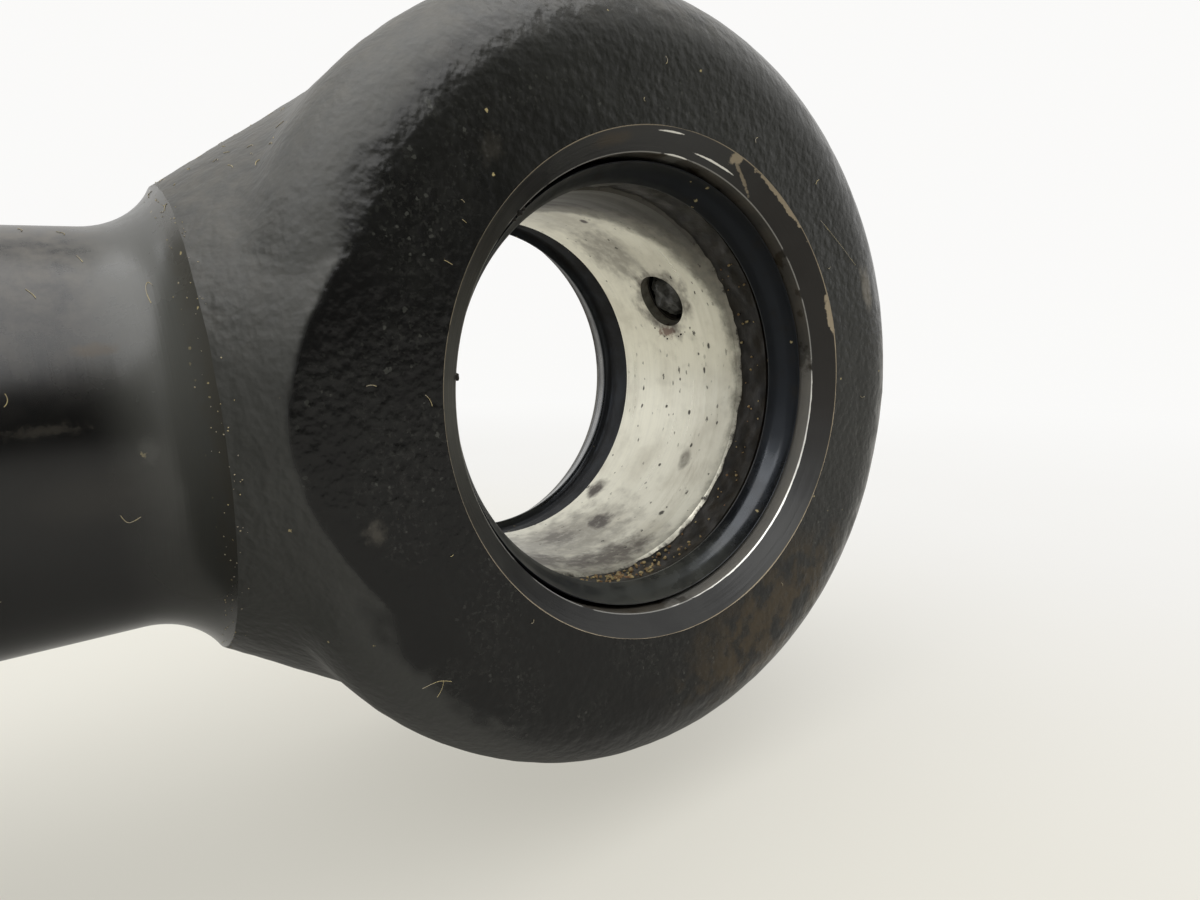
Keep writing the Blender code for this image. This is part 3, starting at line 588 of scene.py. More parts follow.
def make_worn_line_group():
    """A broken worn line where a value is near a set one."""
    wires, given, out = new_group(
        "Worn line",
        {"Where": ORIGIN, "Value": 0.0, "At": 0.0, "Width": 0.1, "Break Scale": 300.0, "Share": 0.5},
        ("Mask",),
    )
    broken = wires.noise(given["Where"], given["Break Scale"], 3.0, 0.6)
    threshold = wires.plus(given["Share"], 0.75, -0.5)
    present = wires.span(broken, wires.plus(threshold, -0.04), wires.plus(threshold, 0.04))
    away = wires.maths("ABSOLUTE", wires.minus(given["Value"], given["At"]))
    half = wires.product(given["Width"], 0.5)
    near = wires.span(away, wires.product(half, 0.6), half, 1.0, 0.0)
    wires.feed(out["Mask"], wires.product(near, present))


def make_turning_group():
    """Height of the fine ridges that a lathe leaves round an axis."""
    wires, given, out = new_group(
        "Turning marks", {"Where": ORIGIN, "Along": (1.0, 0.0, 0.0), "Scale": 3500.0}, ("Height",)
    )
    mostly = wires.vectors("MULTIPLY", given["Where"], given["Along"])
    wires.feed(out["Height"], wires.noise(mostly, given["Scale"], 3.0, 0.7))


# Tones of single marks, next to the finishes that the sidebar lists

# Painted light on the forged neck
NECK_PAINTED_LIGHT = (0.046, 0.0465, 0.042)
# Painted highlight on the rod eye's fillet
FILLET_PAINTED_LIGHT = (0.040, 0.0405, 0.036)
FILLET_PAINTED_HIGHLIGHT = (0.088, 0.089, 0.080)
GREASY_STRIP = (0.050, 0.042, 0.028)
MOUTH_SATIN = ((0.011, 0.011, 0.0105), (0.019, 0.019, 0.0175))
MOUTH_SHADE = (0.006, 0.004, 0.002)
WARM_STEEL = (0.36, 0.33, 0.26)
DULL_STEEL = (0.30, 0.29, 0.24)
PIT = (0.06, 0.055, 0.045)
STAIN = (0.085, 0.068, 0.055)
RED_STAIN = (0.12, 0.055, 0.040)
CREPT_GREASE = ((0.022, 0.018, 0.012), (0.085, 0.074, 0.054))
DEEP_GREASE = (0.012, 0.010, 0.007)
FLOOR_SHADE = (0.47, 0.455, 0.415)
# Painted shade in the floor's glow near the cylinder
NEAR_PAINTED_SHADE = (0.885, 0.86, 0.765)
FAR_HAZE = (0.96, 0.957, 0.945)


def new_material(name, metallic=0.0):
    """A material with its wiring, its shader, its object coordinates and its object-space normal."""
    material = bpy.data.materials.new(name)
    material.use_nodes = True
    wires = Wiring(material.node_tree)
    shader = material.node_tree.nodes["Principled BSDF"].inputs
    shader["Metallic"].default_value = metallic
    space = wires.add("TexCoord").outputs
    return material, wires, shader, space["Object"], space["Normal"]


def finish_surface(wires, shader, tone, roughness, normal, constants=None):
    """Feeds a shader its colour, roughness and normal, and sets what is the same all over on its sockets."""
    for socket, value in (("Base Color", tone), ("Roughness", roughness), ("Normal", normal)):
        wires.feed(shader[socket], value)
    for socket, value in (constants or {}).items():
        shader[socket].default_value = value


def times(tone, factor):
    return tuple(channel * factor for channel in tone)


def pin_place(wires, where, pin):
    """Degrees above X, and millimetres from the pin's axis and from the near face."""
    half = settings().pin.eye_width / 2
    return wires.group("Place round a pin", {"Where": where, "Pin": pin, "Half Width": half})


def marker(wires, where, along, across):
    """A function that gives the mask of a ragged oval in these two coordinates."""

    def mark(centre, half, ragged=0.4, scale=900.0, softness=0.3, strength=None):
        values = {
            "Where": where, "Along": along, "Across": across, "Along Centre": centre[0],
            "Across Centre": centre[1], "Along Half": half[0], "Across Half": half[1],
            "Ragged": ragged, "Ragged Scale": scale, "Softness": softness,
        }
        mask = wires.group("Ragged mark", values)["Mask"]
        return mask if strength is None else wires.product(mask, strength)

    return mark


def forging_paint(name, pin, neck_side):
    """Satin black paint over a rough forged skin, rubbed grey in flecks and grains, with grey painted
    highlights on its high spots and over the face's upper right side, and with dust and straw.

    A neck gets painted light, a grey tone where it faces the near side and its own side of the pin: the neck
    side is -1 for a neck towards -X, and 0 leaves the neck black.
    """
    finish = settings().finish
    material, wires, shader, where, facing = new_material(name)
    degrees, radius, _ = pin_place(wires, where, pin)
    mark = marker(wires, where, degrees, radius)
    skin = wires.group("Forged skin", {"Where": where, "Grain": 1450.0, "Lie": (1.0, 1.0, 0.9)})
    height = wires.plus(wires.noise(where, 500.0, 1.0), skin["Height"], 0.25)
    broad = wires.noise(where, 60.0, 3.0, 0.55)

    tone = wires.mix(wires.span(broad, 0.35, 0.7), finish.paint, times(finish.paint, 1.5))
    patchy = wires.span(wires.noise(where, 150.0, 3.0), 0.38, 0.66)
    flecks = wires.span(wires.noise(where, 2600.0, 2.0, 0.6), 0.52, 0.68, 0.0, 0.34)
    grains = wires.most(wires.specks(where, 1250.0, 0.3, 0.2), wires.specks(where, 620.0, 0.16, 0.15))
    # Rubbed grey flecks and grains, and the skin's peaks lightened a little as painted highlights on the
    # bumps
    rubbed = wires.most(flecks, wires.product(skin["Peaks"], 0.12), grains)
    tone = wires.over(tone, finish.worn_paint_and_highlight, rubbed, patchy)
    # Painted highlight: the face is lighter in grey over its upper right side
    tone = wires.over(tone, finish.worn_paint_and_highlight, mark((42.0, 29.0), (82.0, 14.0), 0.3, 200.0, 0.6), 0.42)

    # Painted light: the neck is painted grey where it turns from the face towards the near side and away from
    # the pin, as if lit from the left
    x, y, _ = wires.parts(facing)
    turned_away = wires.span(wires.plus(patchy, y, 0.05), -0.97, -0.80)
    outward = wires.span(wires.product(x, neck_side), 0.2, 0.45)
    neck = wires.product(turned_away, wires.span(radius, 27.0, 31.0), outward)
    tone = wires.over(tone, NECK_PAINTED_LIGHT, neck, 0.85)

    thin = wires.span(wires.noise(where, 500.0, 3.0), 0.35, 0.6)
    tone = wires.over(tone, finish.brown_film, mark((-66.0, 28.0), (22.0, 5.5), 0.5, 240.0, 0.5), thin, 0.8)
    smear = wires.most(
        mark((17.0, 29.0), (4.2, 0.8), 0.9, 900.0, 0.5),
        mark((-165.8, 29.3), (1.3, 0.5), 1.6, 1500.0, 0.9, 0.4),
        mark((131.2, 25.7), (2.0, 0.8), 1.5, 1500.0, 0.8, 0.15),
    )
    tone = wires.over(tone, finish.dust, smear, 0.5)
    dust = wires.dust(where, facing, 0.3, 600.0)
    tone = wires.over(tone, finish.dust, dust)
    tone = wires.over(tone, finish.straw, wires.specks(where, 420.0, 0.3, 0.06), 0.7)

    gloss = wires.plus(neck, wires.span(broad, 0.3, 0.7, 0.20, 0.28), 0.16)
    # The faint warm sheen is a painted glow along the silhouettes
    constants = {
        "Specular IOR Level": 0.28, "Sheen Weight": 0.012, "Sheen Roughness": 0.2,
        "Sheen Tint": (1.0, 0.82, 0.6, 1),
    }
    finish_surface(wires, shader, tone, wires.plus(dust, gloss, 0.45), wires.bump(height, 0.085), constants)
    return material


def shank_marks(wires, where, tone):
    """Smears and stuck grit on the rod eye's shank, the torn strip beside the forging, and a grey painted
    highlight on the fillet, lighter on its upper side.
    """
    finish = settings().finish
    x, y, z = wires.parts(wires.vectors("SUBTRACT", where, ROD_PIN))
    along = wires.product(x, PER_MM)
    mark = marker(wires, where, along, wires.degrees(z, wires.product(y, -1.0)))
    # Painted highlight: the fillet is painted grey, and lighter again on its upper side, carrying on the
    # shank's highlight
    tone = wires.over(tone, FILLET_PAINTED_LIGHT, mark((-37.9, 0.0), (3.2, 120.0), 0.15, 300.0, 0.8), 0.95)
    tone = wires.over(tone, FILLET_PAINTED_HIGHLIGHT, mark((-38.6, 34.0), (3.4, 34.0), 0.15, 300.0, 0.8), 0.6)
    strip = mark((-36.6, 40.0), (0.8, 75.0), 0.9, 900.0, 0.7, 0.8)
    tone = wires.over(tone, GREASY_STRIP, strip, 0.4)
    tone = wires.over(tone, finish.straw, wires.specks(where, 1500.0, 0.3, 0.17), strip)
    pale = wires.most(
        mark((-45.9, 6.8), (1.7, 1.0), 1.6, 1900.0, 0.9, 0.12),
        mark((-43.9, -10.1), (2.6, 5.0), 0.5, 500.0, 0.9, 0.05),
    )
    tone = wires.over(tone, finish.dust, pale)
    tone = wires.over(tone, finish.grease, mark((-40.6, -0.1), (0.45, 2.8), 0.9, 1500.0, 0.7), 0.3)
    return wires.over(tone, finish.brown_film, mark((-42.6, 24.3), (1.0, 1.5), 0.9, 1200.0, 0.5), 0.8)


def turned_paint(name, along, dusty, scale=2600.0, marked=False):
    """Satin black paint on a turned surface: faint ridges, dust above, straw specks and greasy smears, and on
    a marked shank a painted highlight on the fillet.
    """
    finish = settings().finish
    material, wires, shader, where, facing = new_material(name)
    broad = wires.noise(where, 70.0, 3.0, 0.6)
    cloud = wires.noise(where, 300.0, 4.0, 0.65)
    tone = wires.mix(wires.span(broad, 0.3, 0.7), finish.paint, times(finish.paint, 1.35))
    dust = wires.dust(where, facing, dusty, 700.0)
    tone = wires.over(tone, finish.dust, dust)
    tone = wires.over(tone, finish.straw, wires.specks(where, 260.0, 0.28, 0.055), 0.8)
    if marked:
        tone = shank_marks(wires, where, tone)
    gloss = wires.plus(wires.span(cloud, 0.35, 0.7), 0.24, 0.03)
    skin = wires.plus(cloud, wires.ridges(where, along, scale), 0.12)
    # The faint warm sheen is a painted glow along the silhouettes
    constants = {
        "Specular IOR Level": 0.44, "Sheen Weight": 0.015, "Sheen Roughness": 0.25,
        "Sheen Tint": (1.0, 0.88, 0.7, 1),
    }
    finish_surface(wires, shader, tone, wires.plus(dust, gloss, 0.3), wires.bump(skin, 0.010), constants)
    return material


def mouth_paint(name, pin):
    """The bored mouth: paint on the chamfer, chipped at its rim, bright inside, old grease on the land."""
    finish = settings().finish
    sizes = settings().pin
    material, wires, shader, where, _ = new_material(name)
    degrees, radius, depth = pin_place(wires, where, pin)
    mark = marker(wires, where, degrees, radius)
    chamfer = sizes.mouth_chamfer * PER_MM
    housing = (sizes.pin_bore / 2 + sizes.bush_wall) * PER_MM
    rim = housing + chamfer
    cloud = wires.noise(where, 260.0, 4.0, 0.6)
    upper = mark((22.0, 21.6), (42.0, 30.0), 0.3, 200.0, 0.3)
    tone = wires.mix(wires.span(cloud, 0.3, 0.7), *MOUTH_SATIN)
    tone = wires.over(tone, MOUTH_SHADE, upper, 0.9)
    tone = wires.over(tone, finish.brown_film, mark((104.0, 21.8), (5.0, 0.4), 0.8, 700.0, 0.7), 0.6)

    def worn_line(at, width, scale, share):
        values = {"Where": where, "Value": radius, "At": at, "Width": width}
        return wires.group("Worn line", {**values, "Break Scale": scale, "Share": share})["Mask"]

    # The scratch across the chamfer runs outwards by this many millimetres a degree.
    slanted = wires.plus(degrees, radius, -0.109)
    scratch = marker(wires, where, degrees, slanted)
    chips = wires.most(
        worn_line(rim, 0.26, 500.0, 0.85),
        mark((50.0, rim - 0.08), (11.0, 0.26), 0.9, 1300.0, 0.12),
        mark((15.5, rim - 0.12), (5.4, 0.30), 0.7, 1100.0, 0.12),
        mark((67.5, rim - 0.3), (1.6, 0.5), 0.7, 1500.0, 0.2),
        scratch((62.5, 14.68), (5.0, 0.11), 1.3, 2300.0, 0.4, 0.7),
    )
    tone = wires.over(tone, finish.primer, chips, 0.85)

    bright = wires.most(
        mark((-42.0, housing), (46.0, 0.13), 0.4, 700.0, 0.1),
        mark((83.0, housing + 0.05), (3.6, 0.07), 0.4, 1500.0, 0.15),
        mark((71.5, housing + 0.6), (6.5, 0.07), 0.5, 1500.0, 0.15),
        mark((87.5, rim - 0.4), (3.6, 0.06), 0.6, 1900.0, 0.2),
        wires.product(wires.specks(where, 1300.0, 0.35, 0.15), mark((94.0, 21.0), (9.0, 0.6), 0.5)),
        wires.product(worn_line(housing, 0.22, 420.0, 0.7), 0.3),
    )
    far_chamfer = wires.minus(sizes.eye_width * PER_MM - chamfer, depth)
    near_edge = wires.span(depth, chamfer - 0.04, chamfer + 0.02)
    land = wires.product(near_edge, wires.span(far_chamfer, -0.03, 0.03))
    film = wires.mix(wires.span(cloud, 0.35, 0.65), finish.land_film, times(finish.land_film, 0.35))
    tone = wires.mix(land, tone, film)
    bare = wires.product(bright, wires.plus(land, 1.0, -0.85))
    tone = wires.mix(bare, tone, finish.bare_steel)

    wires.feed(shader["Metallic"], wires.product(bare, 0.85))
    gloss = wires.plus(upper, wires.span(cloud, 0.3, 0.7, 0.3, 0.4), 0.22)
    raised = wires.plus(chips, wires.ridges(where, (0.02, 1.0, 0.02), 4200.0), -1.2)
    finish_surface(wires, shader, tone, gloss, wires.bump(raised, 0.02), {"Specular IOR Level": 0.42})
    return material


BUSH_STAINS = (
    # angle and depth, half sizes, strength
    ((-53.3, 29.8), (4.0, 1.2), 0.95),
    ((-84.0, 23.4), (24.0, 6.4), 0.5),
    ((27.0, 21.55), (11.2, 3.75), 0.9),
    ((-85.0, 24.6), (9.0, 3.0), 0.75),
    ((-68.4, 23.4), (5.6, 2.0), 0.95),
    ((-107.0, 17.0), (13.0, 4.2), 0.85),
    ((-89.0, 14.6), (20.0, 3.0), 0.9),
    ((-33.4, 17.2), (3.6, 0.7), 0.5),
    ((51.0, 25.2), (15.0, 3.6), 0.5),
    ((76.0, 25.0), (18.0, 4.0), 0.28),
    ((69.8, 22.5), (1.5, 0.45), 1.0),
    ((68.0, 16.0), (1.6, 0.6), 0.6),
)

BUSH_PITS = (
    # angle and depth, half sizes
    ((8.9, 15.5), (1.0, 0.19)), ((0.0, 16.6), (1.1, 0.16)), ((-15.8, 18.8), (0.9, 0.21)),
    ((-18.6, 13.7), (0.6, 0.14)), ((-37.4, 21.1), (0.6, 0.2)), ((-28.0, 17.0), (0.8, 0.17)),
    ((-56.6, 15.6), (1.1, 0.32)), ((-3.6, 21.0), (0.5, 0.15)), ((6.0, 17.4), (0.5, 0.14)),
)


def bush_steel(name, pin, marked):
    """Bright worn bore: faint lines round it, dark pits, warm stains and grease at its edges."""
    finish = settings().finish
    sizes = settings().pin
    material, wires, shader, where, _ = new_material(name, metallic=1.0)
    degrees, _, depth = pin_place(wires, where, pin)
    mark = marker(wires, where, degrees, depth)
    lines = wires.ridges(where, (0.03, 1.0, 0.03), 1300.0)
    broad = wires.noise(where, 130.0, 4.0, 0.6)
    middling = wires.noise(where, 380.0, 4.0, 0.65)
    fine = wires.noise(where, 900.0, 4.0, 0.65)
    tone = wires.mix(wires.span(lines, 0.3, 0.7), times(finish.bush_steel, 0.9), finish.bush_steel)
    tone = wires.over(tone, WARM_STEEL, wires.span(broad, 0.46, 0.74), 0.42)
    tone = wires.over(tone, DULL_STEEL, wires.span(middling, 0.5, 0.75, 0.0, 0.22))
    wobble = wires.vectors("MULTIPLY", where, (1.0, 1.0, 0.55))
    pits = wires.product(wires.specks(wobble, 560.0, 0.42, 0.13), 0.85)
    small_pits = wires.product(wires.specks(wobble, 1300.0, 0.22, 0.2), 0.55)
    pitted = wires.span(wires.noise(where, 120.0, 2.0), 0.4, 0.6, 0.3, 1.0)
    dark = wires.product(wires.most(pits, small_pits), pitted)
    tone = wires.over(tone, PIT, dark)
    stained = 0.0
    if marked:
        blots = [mark(centre, half, 1.0, 520.0, 0.55, strength) for centre, half, strength in BUSH_STAINS]
        stained = wires.product(wires.most(*blots), wires.span(fine, 0.3, 0.55, 0.6, 1.0))
        tone = wires.over(tone, STAIN, stained)
        tone = wires.over(tone, RED_STAIN, mark((14.6, 22.6), (1.9, 1.3), 1.7, 1500.0, 0.4), 0.75)
        placed = [mark(centre, half, 0.6, 2200.0, 0.3) for centre, half in BUSH_PITS]
        dark = wires.most(dark, wires.product(wires.most(*placed), 0.92))
        tone = wires.over(tone, PIT, dark)

    # Grease has crept in from both edges, further at the top: as deep as
    # edge + 0.5 + 0.0015 (angle + 6)^2, in millimetres and degrees.
    edge = sizes.bush_depth * PER_MM
    back_edge = (sizes.eye_width - sizes.bush_depth) * PER_MM
    past = wires.maths("MAXIMUM", wires.plus(degrees, 6.0), 0.0)
    border = wires.plus(wires.product(past, past), edge + 0.5, 0.0015)
    shallow = wires.plus(wires.noise(where, 420.0, 5.0, 0.7), wires.plus(depth, -1.7), 3.4)
    inside = wires.minus(border, shallow)
    high = wires.product(wires.span(inside, -1.1, 0.9), wires.span(degrees, 118.0, 95.0))
    near = wires.span(wires.plus(fine, depth, 1.2), edge + 0.5, edge + 1.1, 1.0, 0.0)
    back = wires.span(depth, back_edge - 0.35, back_edge - 0.1, 0.0, 0.8)
    greasy = wires.most(wires.product(high, wires.span(inside, 0.3, 5.0, 0.68, 0.95)), near, back)
    film = wires.mix(wires.span(fine, 0.35, 0.62), *CREPT_GREASE)
    film = wires.over(film, DEEP_GREASE, wires.span(inside, 1.5, 6.0, 0.0, 0.8))
    tone = wires.mix(greasy, tone, film)

    dull = wires.most(greasy, stained, dark)
    wires.feed(shader["Metallic"], wires.plus(dull, 1.0, -0.8))
    gloss = wires.plus(dull, wires.span(lines, 0.3, 0.7, 0.27, 0.40), 0.15)
    height = wires.plus(dark, wires.plus(fine, lines, 0.3), -1.5)
    finish_surface(wires, shader, tone, gloss, wires.bump(height, 0.010))
    return material


def seal_rubber(name, pin):
    """Glossy black rubber, wiped with grease, brown and dull in its hollows, with a grey painted sheen low on
    its fronts.
    """
    finish = settings().finish
    dark_grime = times(finish.grime, 0.5)
    material, wires, shader, where, _ = new_material(name)
    degrees, _, depth = pin_place(wires, where, pin)
    mark = marker(wires, where, degrees, depth)
    wiped = wires.most(
        mark((-60.0, 5.0), (34.0, 9.0), 0.3, 300.0, 0.5), mark((-60.0, 38.0), (70.0, 9.0), 0.3, 300.0, 0.5)
    )
    far = wires.minus(settings().pin.eye_width * PER_MM, depth)
    depth = wires.maths("MINIMUM", depth, far)
    cloud = wires.noise(where, 380.0, 4.0, 0.6)
    tone = wires.mix(wires.span(cloud, 0.55, 0.75), finish.rubber, dark_grime)
    # Painted sheen: a grey tone low on each seal's front stands in for the sheen of light on the rubber
    grey_painted_sheen = marker(wires, where, degrees, depth)((-88.0, 4.6), (30.0, 2.2), 0.5, 400.0, 0.5)
    tone = wires.over(tone, finish.worn_paint_and_highlight, grey_painted_sheen, wires.span(cloud, 0.3, 0.6, 0.3, 0.8))
    back = wires.span(depth, 6.4, 6.9)
    tone = wires.over(tone, dark_grime, back, wires.span(cloud, 0.3, 0.6))
    tone = wires.over(tone, finish.straw, wires.specks(where, 500.0, 0.25, 0.1), 0.6)
    gloss = wires.plus(wiped, wires.span(cloud, 0.35, 0.75, 0.42, 0.58), -0.24)
    wires.feed(shader["Coat Weight"], wires.product(wiped, wires.minus(1.0, back), 0.4))
    # The bluish specular tint stands in for the bluish daylight in the seal's highlight
    constants = {"Specular IOR Level": 0.3, "Specular Tint": (0.78, 0.87, 1.0, 1), "Coat Roughness": 0.12}
    finish_surface(wires, shader, tone, wires.plus(back, gloss, 0.3), wires.bump(cloud, 0.012), constants)
    return material


def dirt(name, first, second, scale, roughness, depth=0.05):
    """A lumpy two-tone deposit such as grease, grime or rust crumbs."""
    material, wires, shader, where, _ = new_material(name)
    cloud = wires.noise(where, scale, 4.0, 0.65)
    tone = wires.mix(wires.span(cloud, 0.35, 0.65), first, second)
    rough = wires.span(cloud, 0.3, 0.7, roughness * 0.75, roughness)
    finish_surface(wires, shader, tone, rough, wires.bump(cloud, depth), {"Specular IOR Level": 0.3})
    return material


def plated(name, tone, roughness, along, scale=2600.0):
    """A turned or ground metal surface with faint lines round it and slight stains."""
    material, wires, shader, where, _ = new_material(name, metallic=1.0)
    ridges = wires.ridges(where, along, scale)
    cloud = wires.noise(where, 90.0, 3.0, 0.6)
    shade = wires.mix(wires.span(cloud, 0.4, 0.75), tone, times(tone, 0.9))
    rough = wires.span(ridges, 0.3, 0.7, roughness * 0.8, roughness * 1.25)
    finish_surface(wires, shader, shade, rough, wires.bump(ridges, 0.004))
    return material


def moulded(name, tone, roughness):
    """A moulded or machined plastic with a faint grain."""
    material, wires, shader, where, _ = new_material(name)
    grain = wires.noise(where, 1500.0, 3.0, 0.6)
    shade = wires.mix(wires.span(grain, 0.3, 0.7), tone, times(tone, 0.85))
    rough = wires.span(grain, 0.3, 0.7, roughness * 0.85, roughness * 1.1)
    finish_surface(wires, shader, shade, rough, wires.bump(grain, 0.01))
    return material


# Pieces


def ring_blank(radius, rounding):
    """The forged ring before boring: a disc along Y with rounded rims."""
    half = settings().pin.eye_width / 2
    flat = half - rounding
    inset = radius - rounding
    rims = arc((-flat, inset), rounding, 180, 90) + arc((flat, inset), rounding, 90, 0)
    return spun([(-half, 0)] + rims + [(half, 0)], 144)


def bore_cutter(pin):
    sizes = settings().pin
    half = sizes.eye_width / 2
    housing = sizes.pin_bore / 2 + sizes.bush_wall
    past = 1.0 * MM
    wide = housing + sizes.mouth_chamfer + past
    inset = half - sizes.mouth_chamfer
    outline = [(-half - past, 0), (-half - past, wide), (-inset, housing)]
    outline += [(inset, housing), (half + past, wide), (half + past, 0)]
    return laid(spun(outline, 288), pin, "Y")


def grease_way_cutters(pin, ring_radius, tilt, finishes):
    """The drilling through a ring's wall and the flat seat of its fitting."""
    sizes = settings().pin
    outside = ring_radius * 1.2
    drill = laid(bar(sizes.pin_bore / 4, outside, sizes.grease_hole / 2), pin, "X", tilt)
    seat = laid(bar(ring_radius - sizes.seat_depth, outside, sizes.seat_radius, 96), pin, "X", tilt)
    return [working("drill", drill, finishes, 1), working("seat", seat, finishes, 1)]


def forged(name, solids, voxel, smoothing, finishes):
    """One forging out of overlapping solids, its valleys softened but not the edges of its faces."""
    blank = working(name, joined(solids), finishes)
    skin = blank.modifiers.new("skin", "REMESH")
    skin.mode = "VOXEL"
    skin.voxel_size = voxel
    applied(blank)
    half = settings().pin.eye_width / 2
    fully_soft = 2 * MM
    soft_zone = blank.vertex_groups.new(name="valleys")
    for vertex in blank.data.vertices:
        below_face = half - abs(vertex.co.y)
        soft_zone.add([vertex.index], min(max(below_face / fully_soft, 0.0), 1.0), "REPLACE")
    for iterations, zone in ((3, ""), (smoothing, "valleys")):
        soft = blank.modifiers.new("soft", "SMOOTH")
        soft.factor = 0.5
        soft.iterations = iterations
        soft.vertex_group = zone
    applied(blank)
    blank.vertex_groups.clear()
    return blank


def roughen_rod_forging(eye, sizes):
    """The rod eye's uneven skin: broad lumps, small bumps and the toothed edge of its near face."""
    places, facings = vertex_arrays(eye.data)
    local = places - np.array(ROD_PIN)
    rim = 1.0 - np.abs(facings[:, 1])
    lumps = field(places, 9 * MM) * sizes.lumps
    bumps = field(places, 1.9 * MM, (1, 1, 0.6)) + 0.8 * field(places + 7.0, 1.15 * MM, (1, 1, 0.7))
    neck_end = -34.5 * MM
    near_neck = np.clip(1 - np.abs(local[:, 0] - neck_end) / (3.5 * MM), 0, 1)
    from_pin = np.hypot(local[:, 0], local[:, 2])
    crease = np.clip(1 - np.abs(rim - 0.09) / 0.09, 0, 1) * np.clip((34 * MM - from_pin) / MM, 0, 1)
    teeth = field(places, 1.25 * MM, (1, 0.4, 1)) * 0.13 * MM * crease
    offsets = lumps + bumps * sizes.bumps * (0.35 + 0.6 * rim + 0.9 * near_neck) + teeth
    moved_out(eye.data, places, facings, offsets - 0.05 * MM)


def build_rod_eye():
    sizes = settings().rod_eye
    pin_sizes = settings().pin
    finishes = (
        forging_paint("rod eye forging paint", ROD_PIN, -1.0),
        turned_paint("rod eye shank paint", ALONG_X, 0.45, marked=True),
        mouth_paint("rod eye mouth paint", ROD_PIN),
    )
    thin = sizes.rod_diameter / 2
    stock = thin + 0.7 * MM
    run_out = sizes.ring_radius - sizes.neck_inset
    tangent = (-run_out * math.sin(sizes.neck_angle), run_out * math.cos(sizes.neck_angle))
    end = -sizes.shank_length - MM
    start = tangent[0] - (tangent[1] - thin) / math.tan(sizes.neck_angle) + 1.05 * MM
    cone = [(end, 0), (end, stock), (start, stock), tangent, (0, tangent[1]), (0, 0)]
    neck = working("neck", laid(spun(cone, 144), ROD_PIN))
    corner = Vector((0.1, pin_sizes.eye_width / 2, 0.1))
    combined(neck, [working("slab", block(ROD_PIN - corner, ROD_PIN + corner))], "INTERSECT")
    neck_shape = bmesh.new()
    neck_shape.from_mesh(neck.data)
    bpy.data.objects.remove(neck)

    ring = laid(ring_blank(sizes.ring_radius, sizes.ring_rounding), ROD_PIN, "Y")
    eye = forged("rod_eye_forging", [ring, neck_shape], sizes.skin, 14, finishes)
    roughen_rod_forging(eye, sizes)

    edge = 0.6 * MM
    centre = (-sizes.fillet_to_pin - sizes.fillet, thin + sizes.fillet)
    far = 2 * sizes.ring_radius
    lathe = [(-sizes.shank_length, 0), (-sizes.shank_length, thin - edge), (-sizes.shank_length + edge, thin)]
    lathe += arc(centre, sizes.fillet, -90, 0, 20) + [(centre[0] + sizes.fillet, far), (far, far), (far, 0)]
    envelope = working("envelope", laid(spun(lathe, 256), ROD_PIN), finishes, 1)
    combined(eye, [envelope], "INTERSECT")
    cutters = [working("bore", bore_cutter(ROD_PIN), finishes, 2)]
    cutters += grease_way_cutters(ROD_PIN, sizes.ring_radius, pin_sizes.grease_angle, finishes)
    combined(eye, cutters, "DIFFERENCE")
    fitted(eye, "rod", ["rod_eye"], limit=40.0)


def base_neck(top):
    """The block between the base ring and the end cap, with its long edges rounded."""
    sizes = settings().base_eye
    half = settings().pin.eye_width / 2
    back = sizes.cap_to_pin - sizes.cap_thickness + 6 * MM
    ring = sizes.ring_radius - GAP
    neck = bmesh.new()
    corners = ((0, ring), (back, top), (back, -top), (0, -ring))
    face = neck.faces.new([neck.verts.new((x, -half, z)) for x, z in corners])
    pushed = bmesh.ops.extrude_face_region(neck, geom=[face])["geom"]
    far_side = [item for item in pushed if isinstance(item, bmesh.types.BMVert)]
    bmesh.ops.translate(neck, verts=far_side, vec=(0, 2 * half, 0))
    long_edges = []
    for edge in neck.edges:
        run = edge.verts[0].co - edge.verts[1].co
        if abs(run.y) < half and abs(run.x) > MM:
            long_edges.append(edge)
    bmesh.ops.bevel(
        neck, geom=long_edges, offset=sizes.neck_rounding, segments=10, profile=0.5, affect="EDGES"
    )
    bmesh.ops.recalc_face_normals(neck, faces=neck.faces)
    return laid(neck, BASE_PIN)


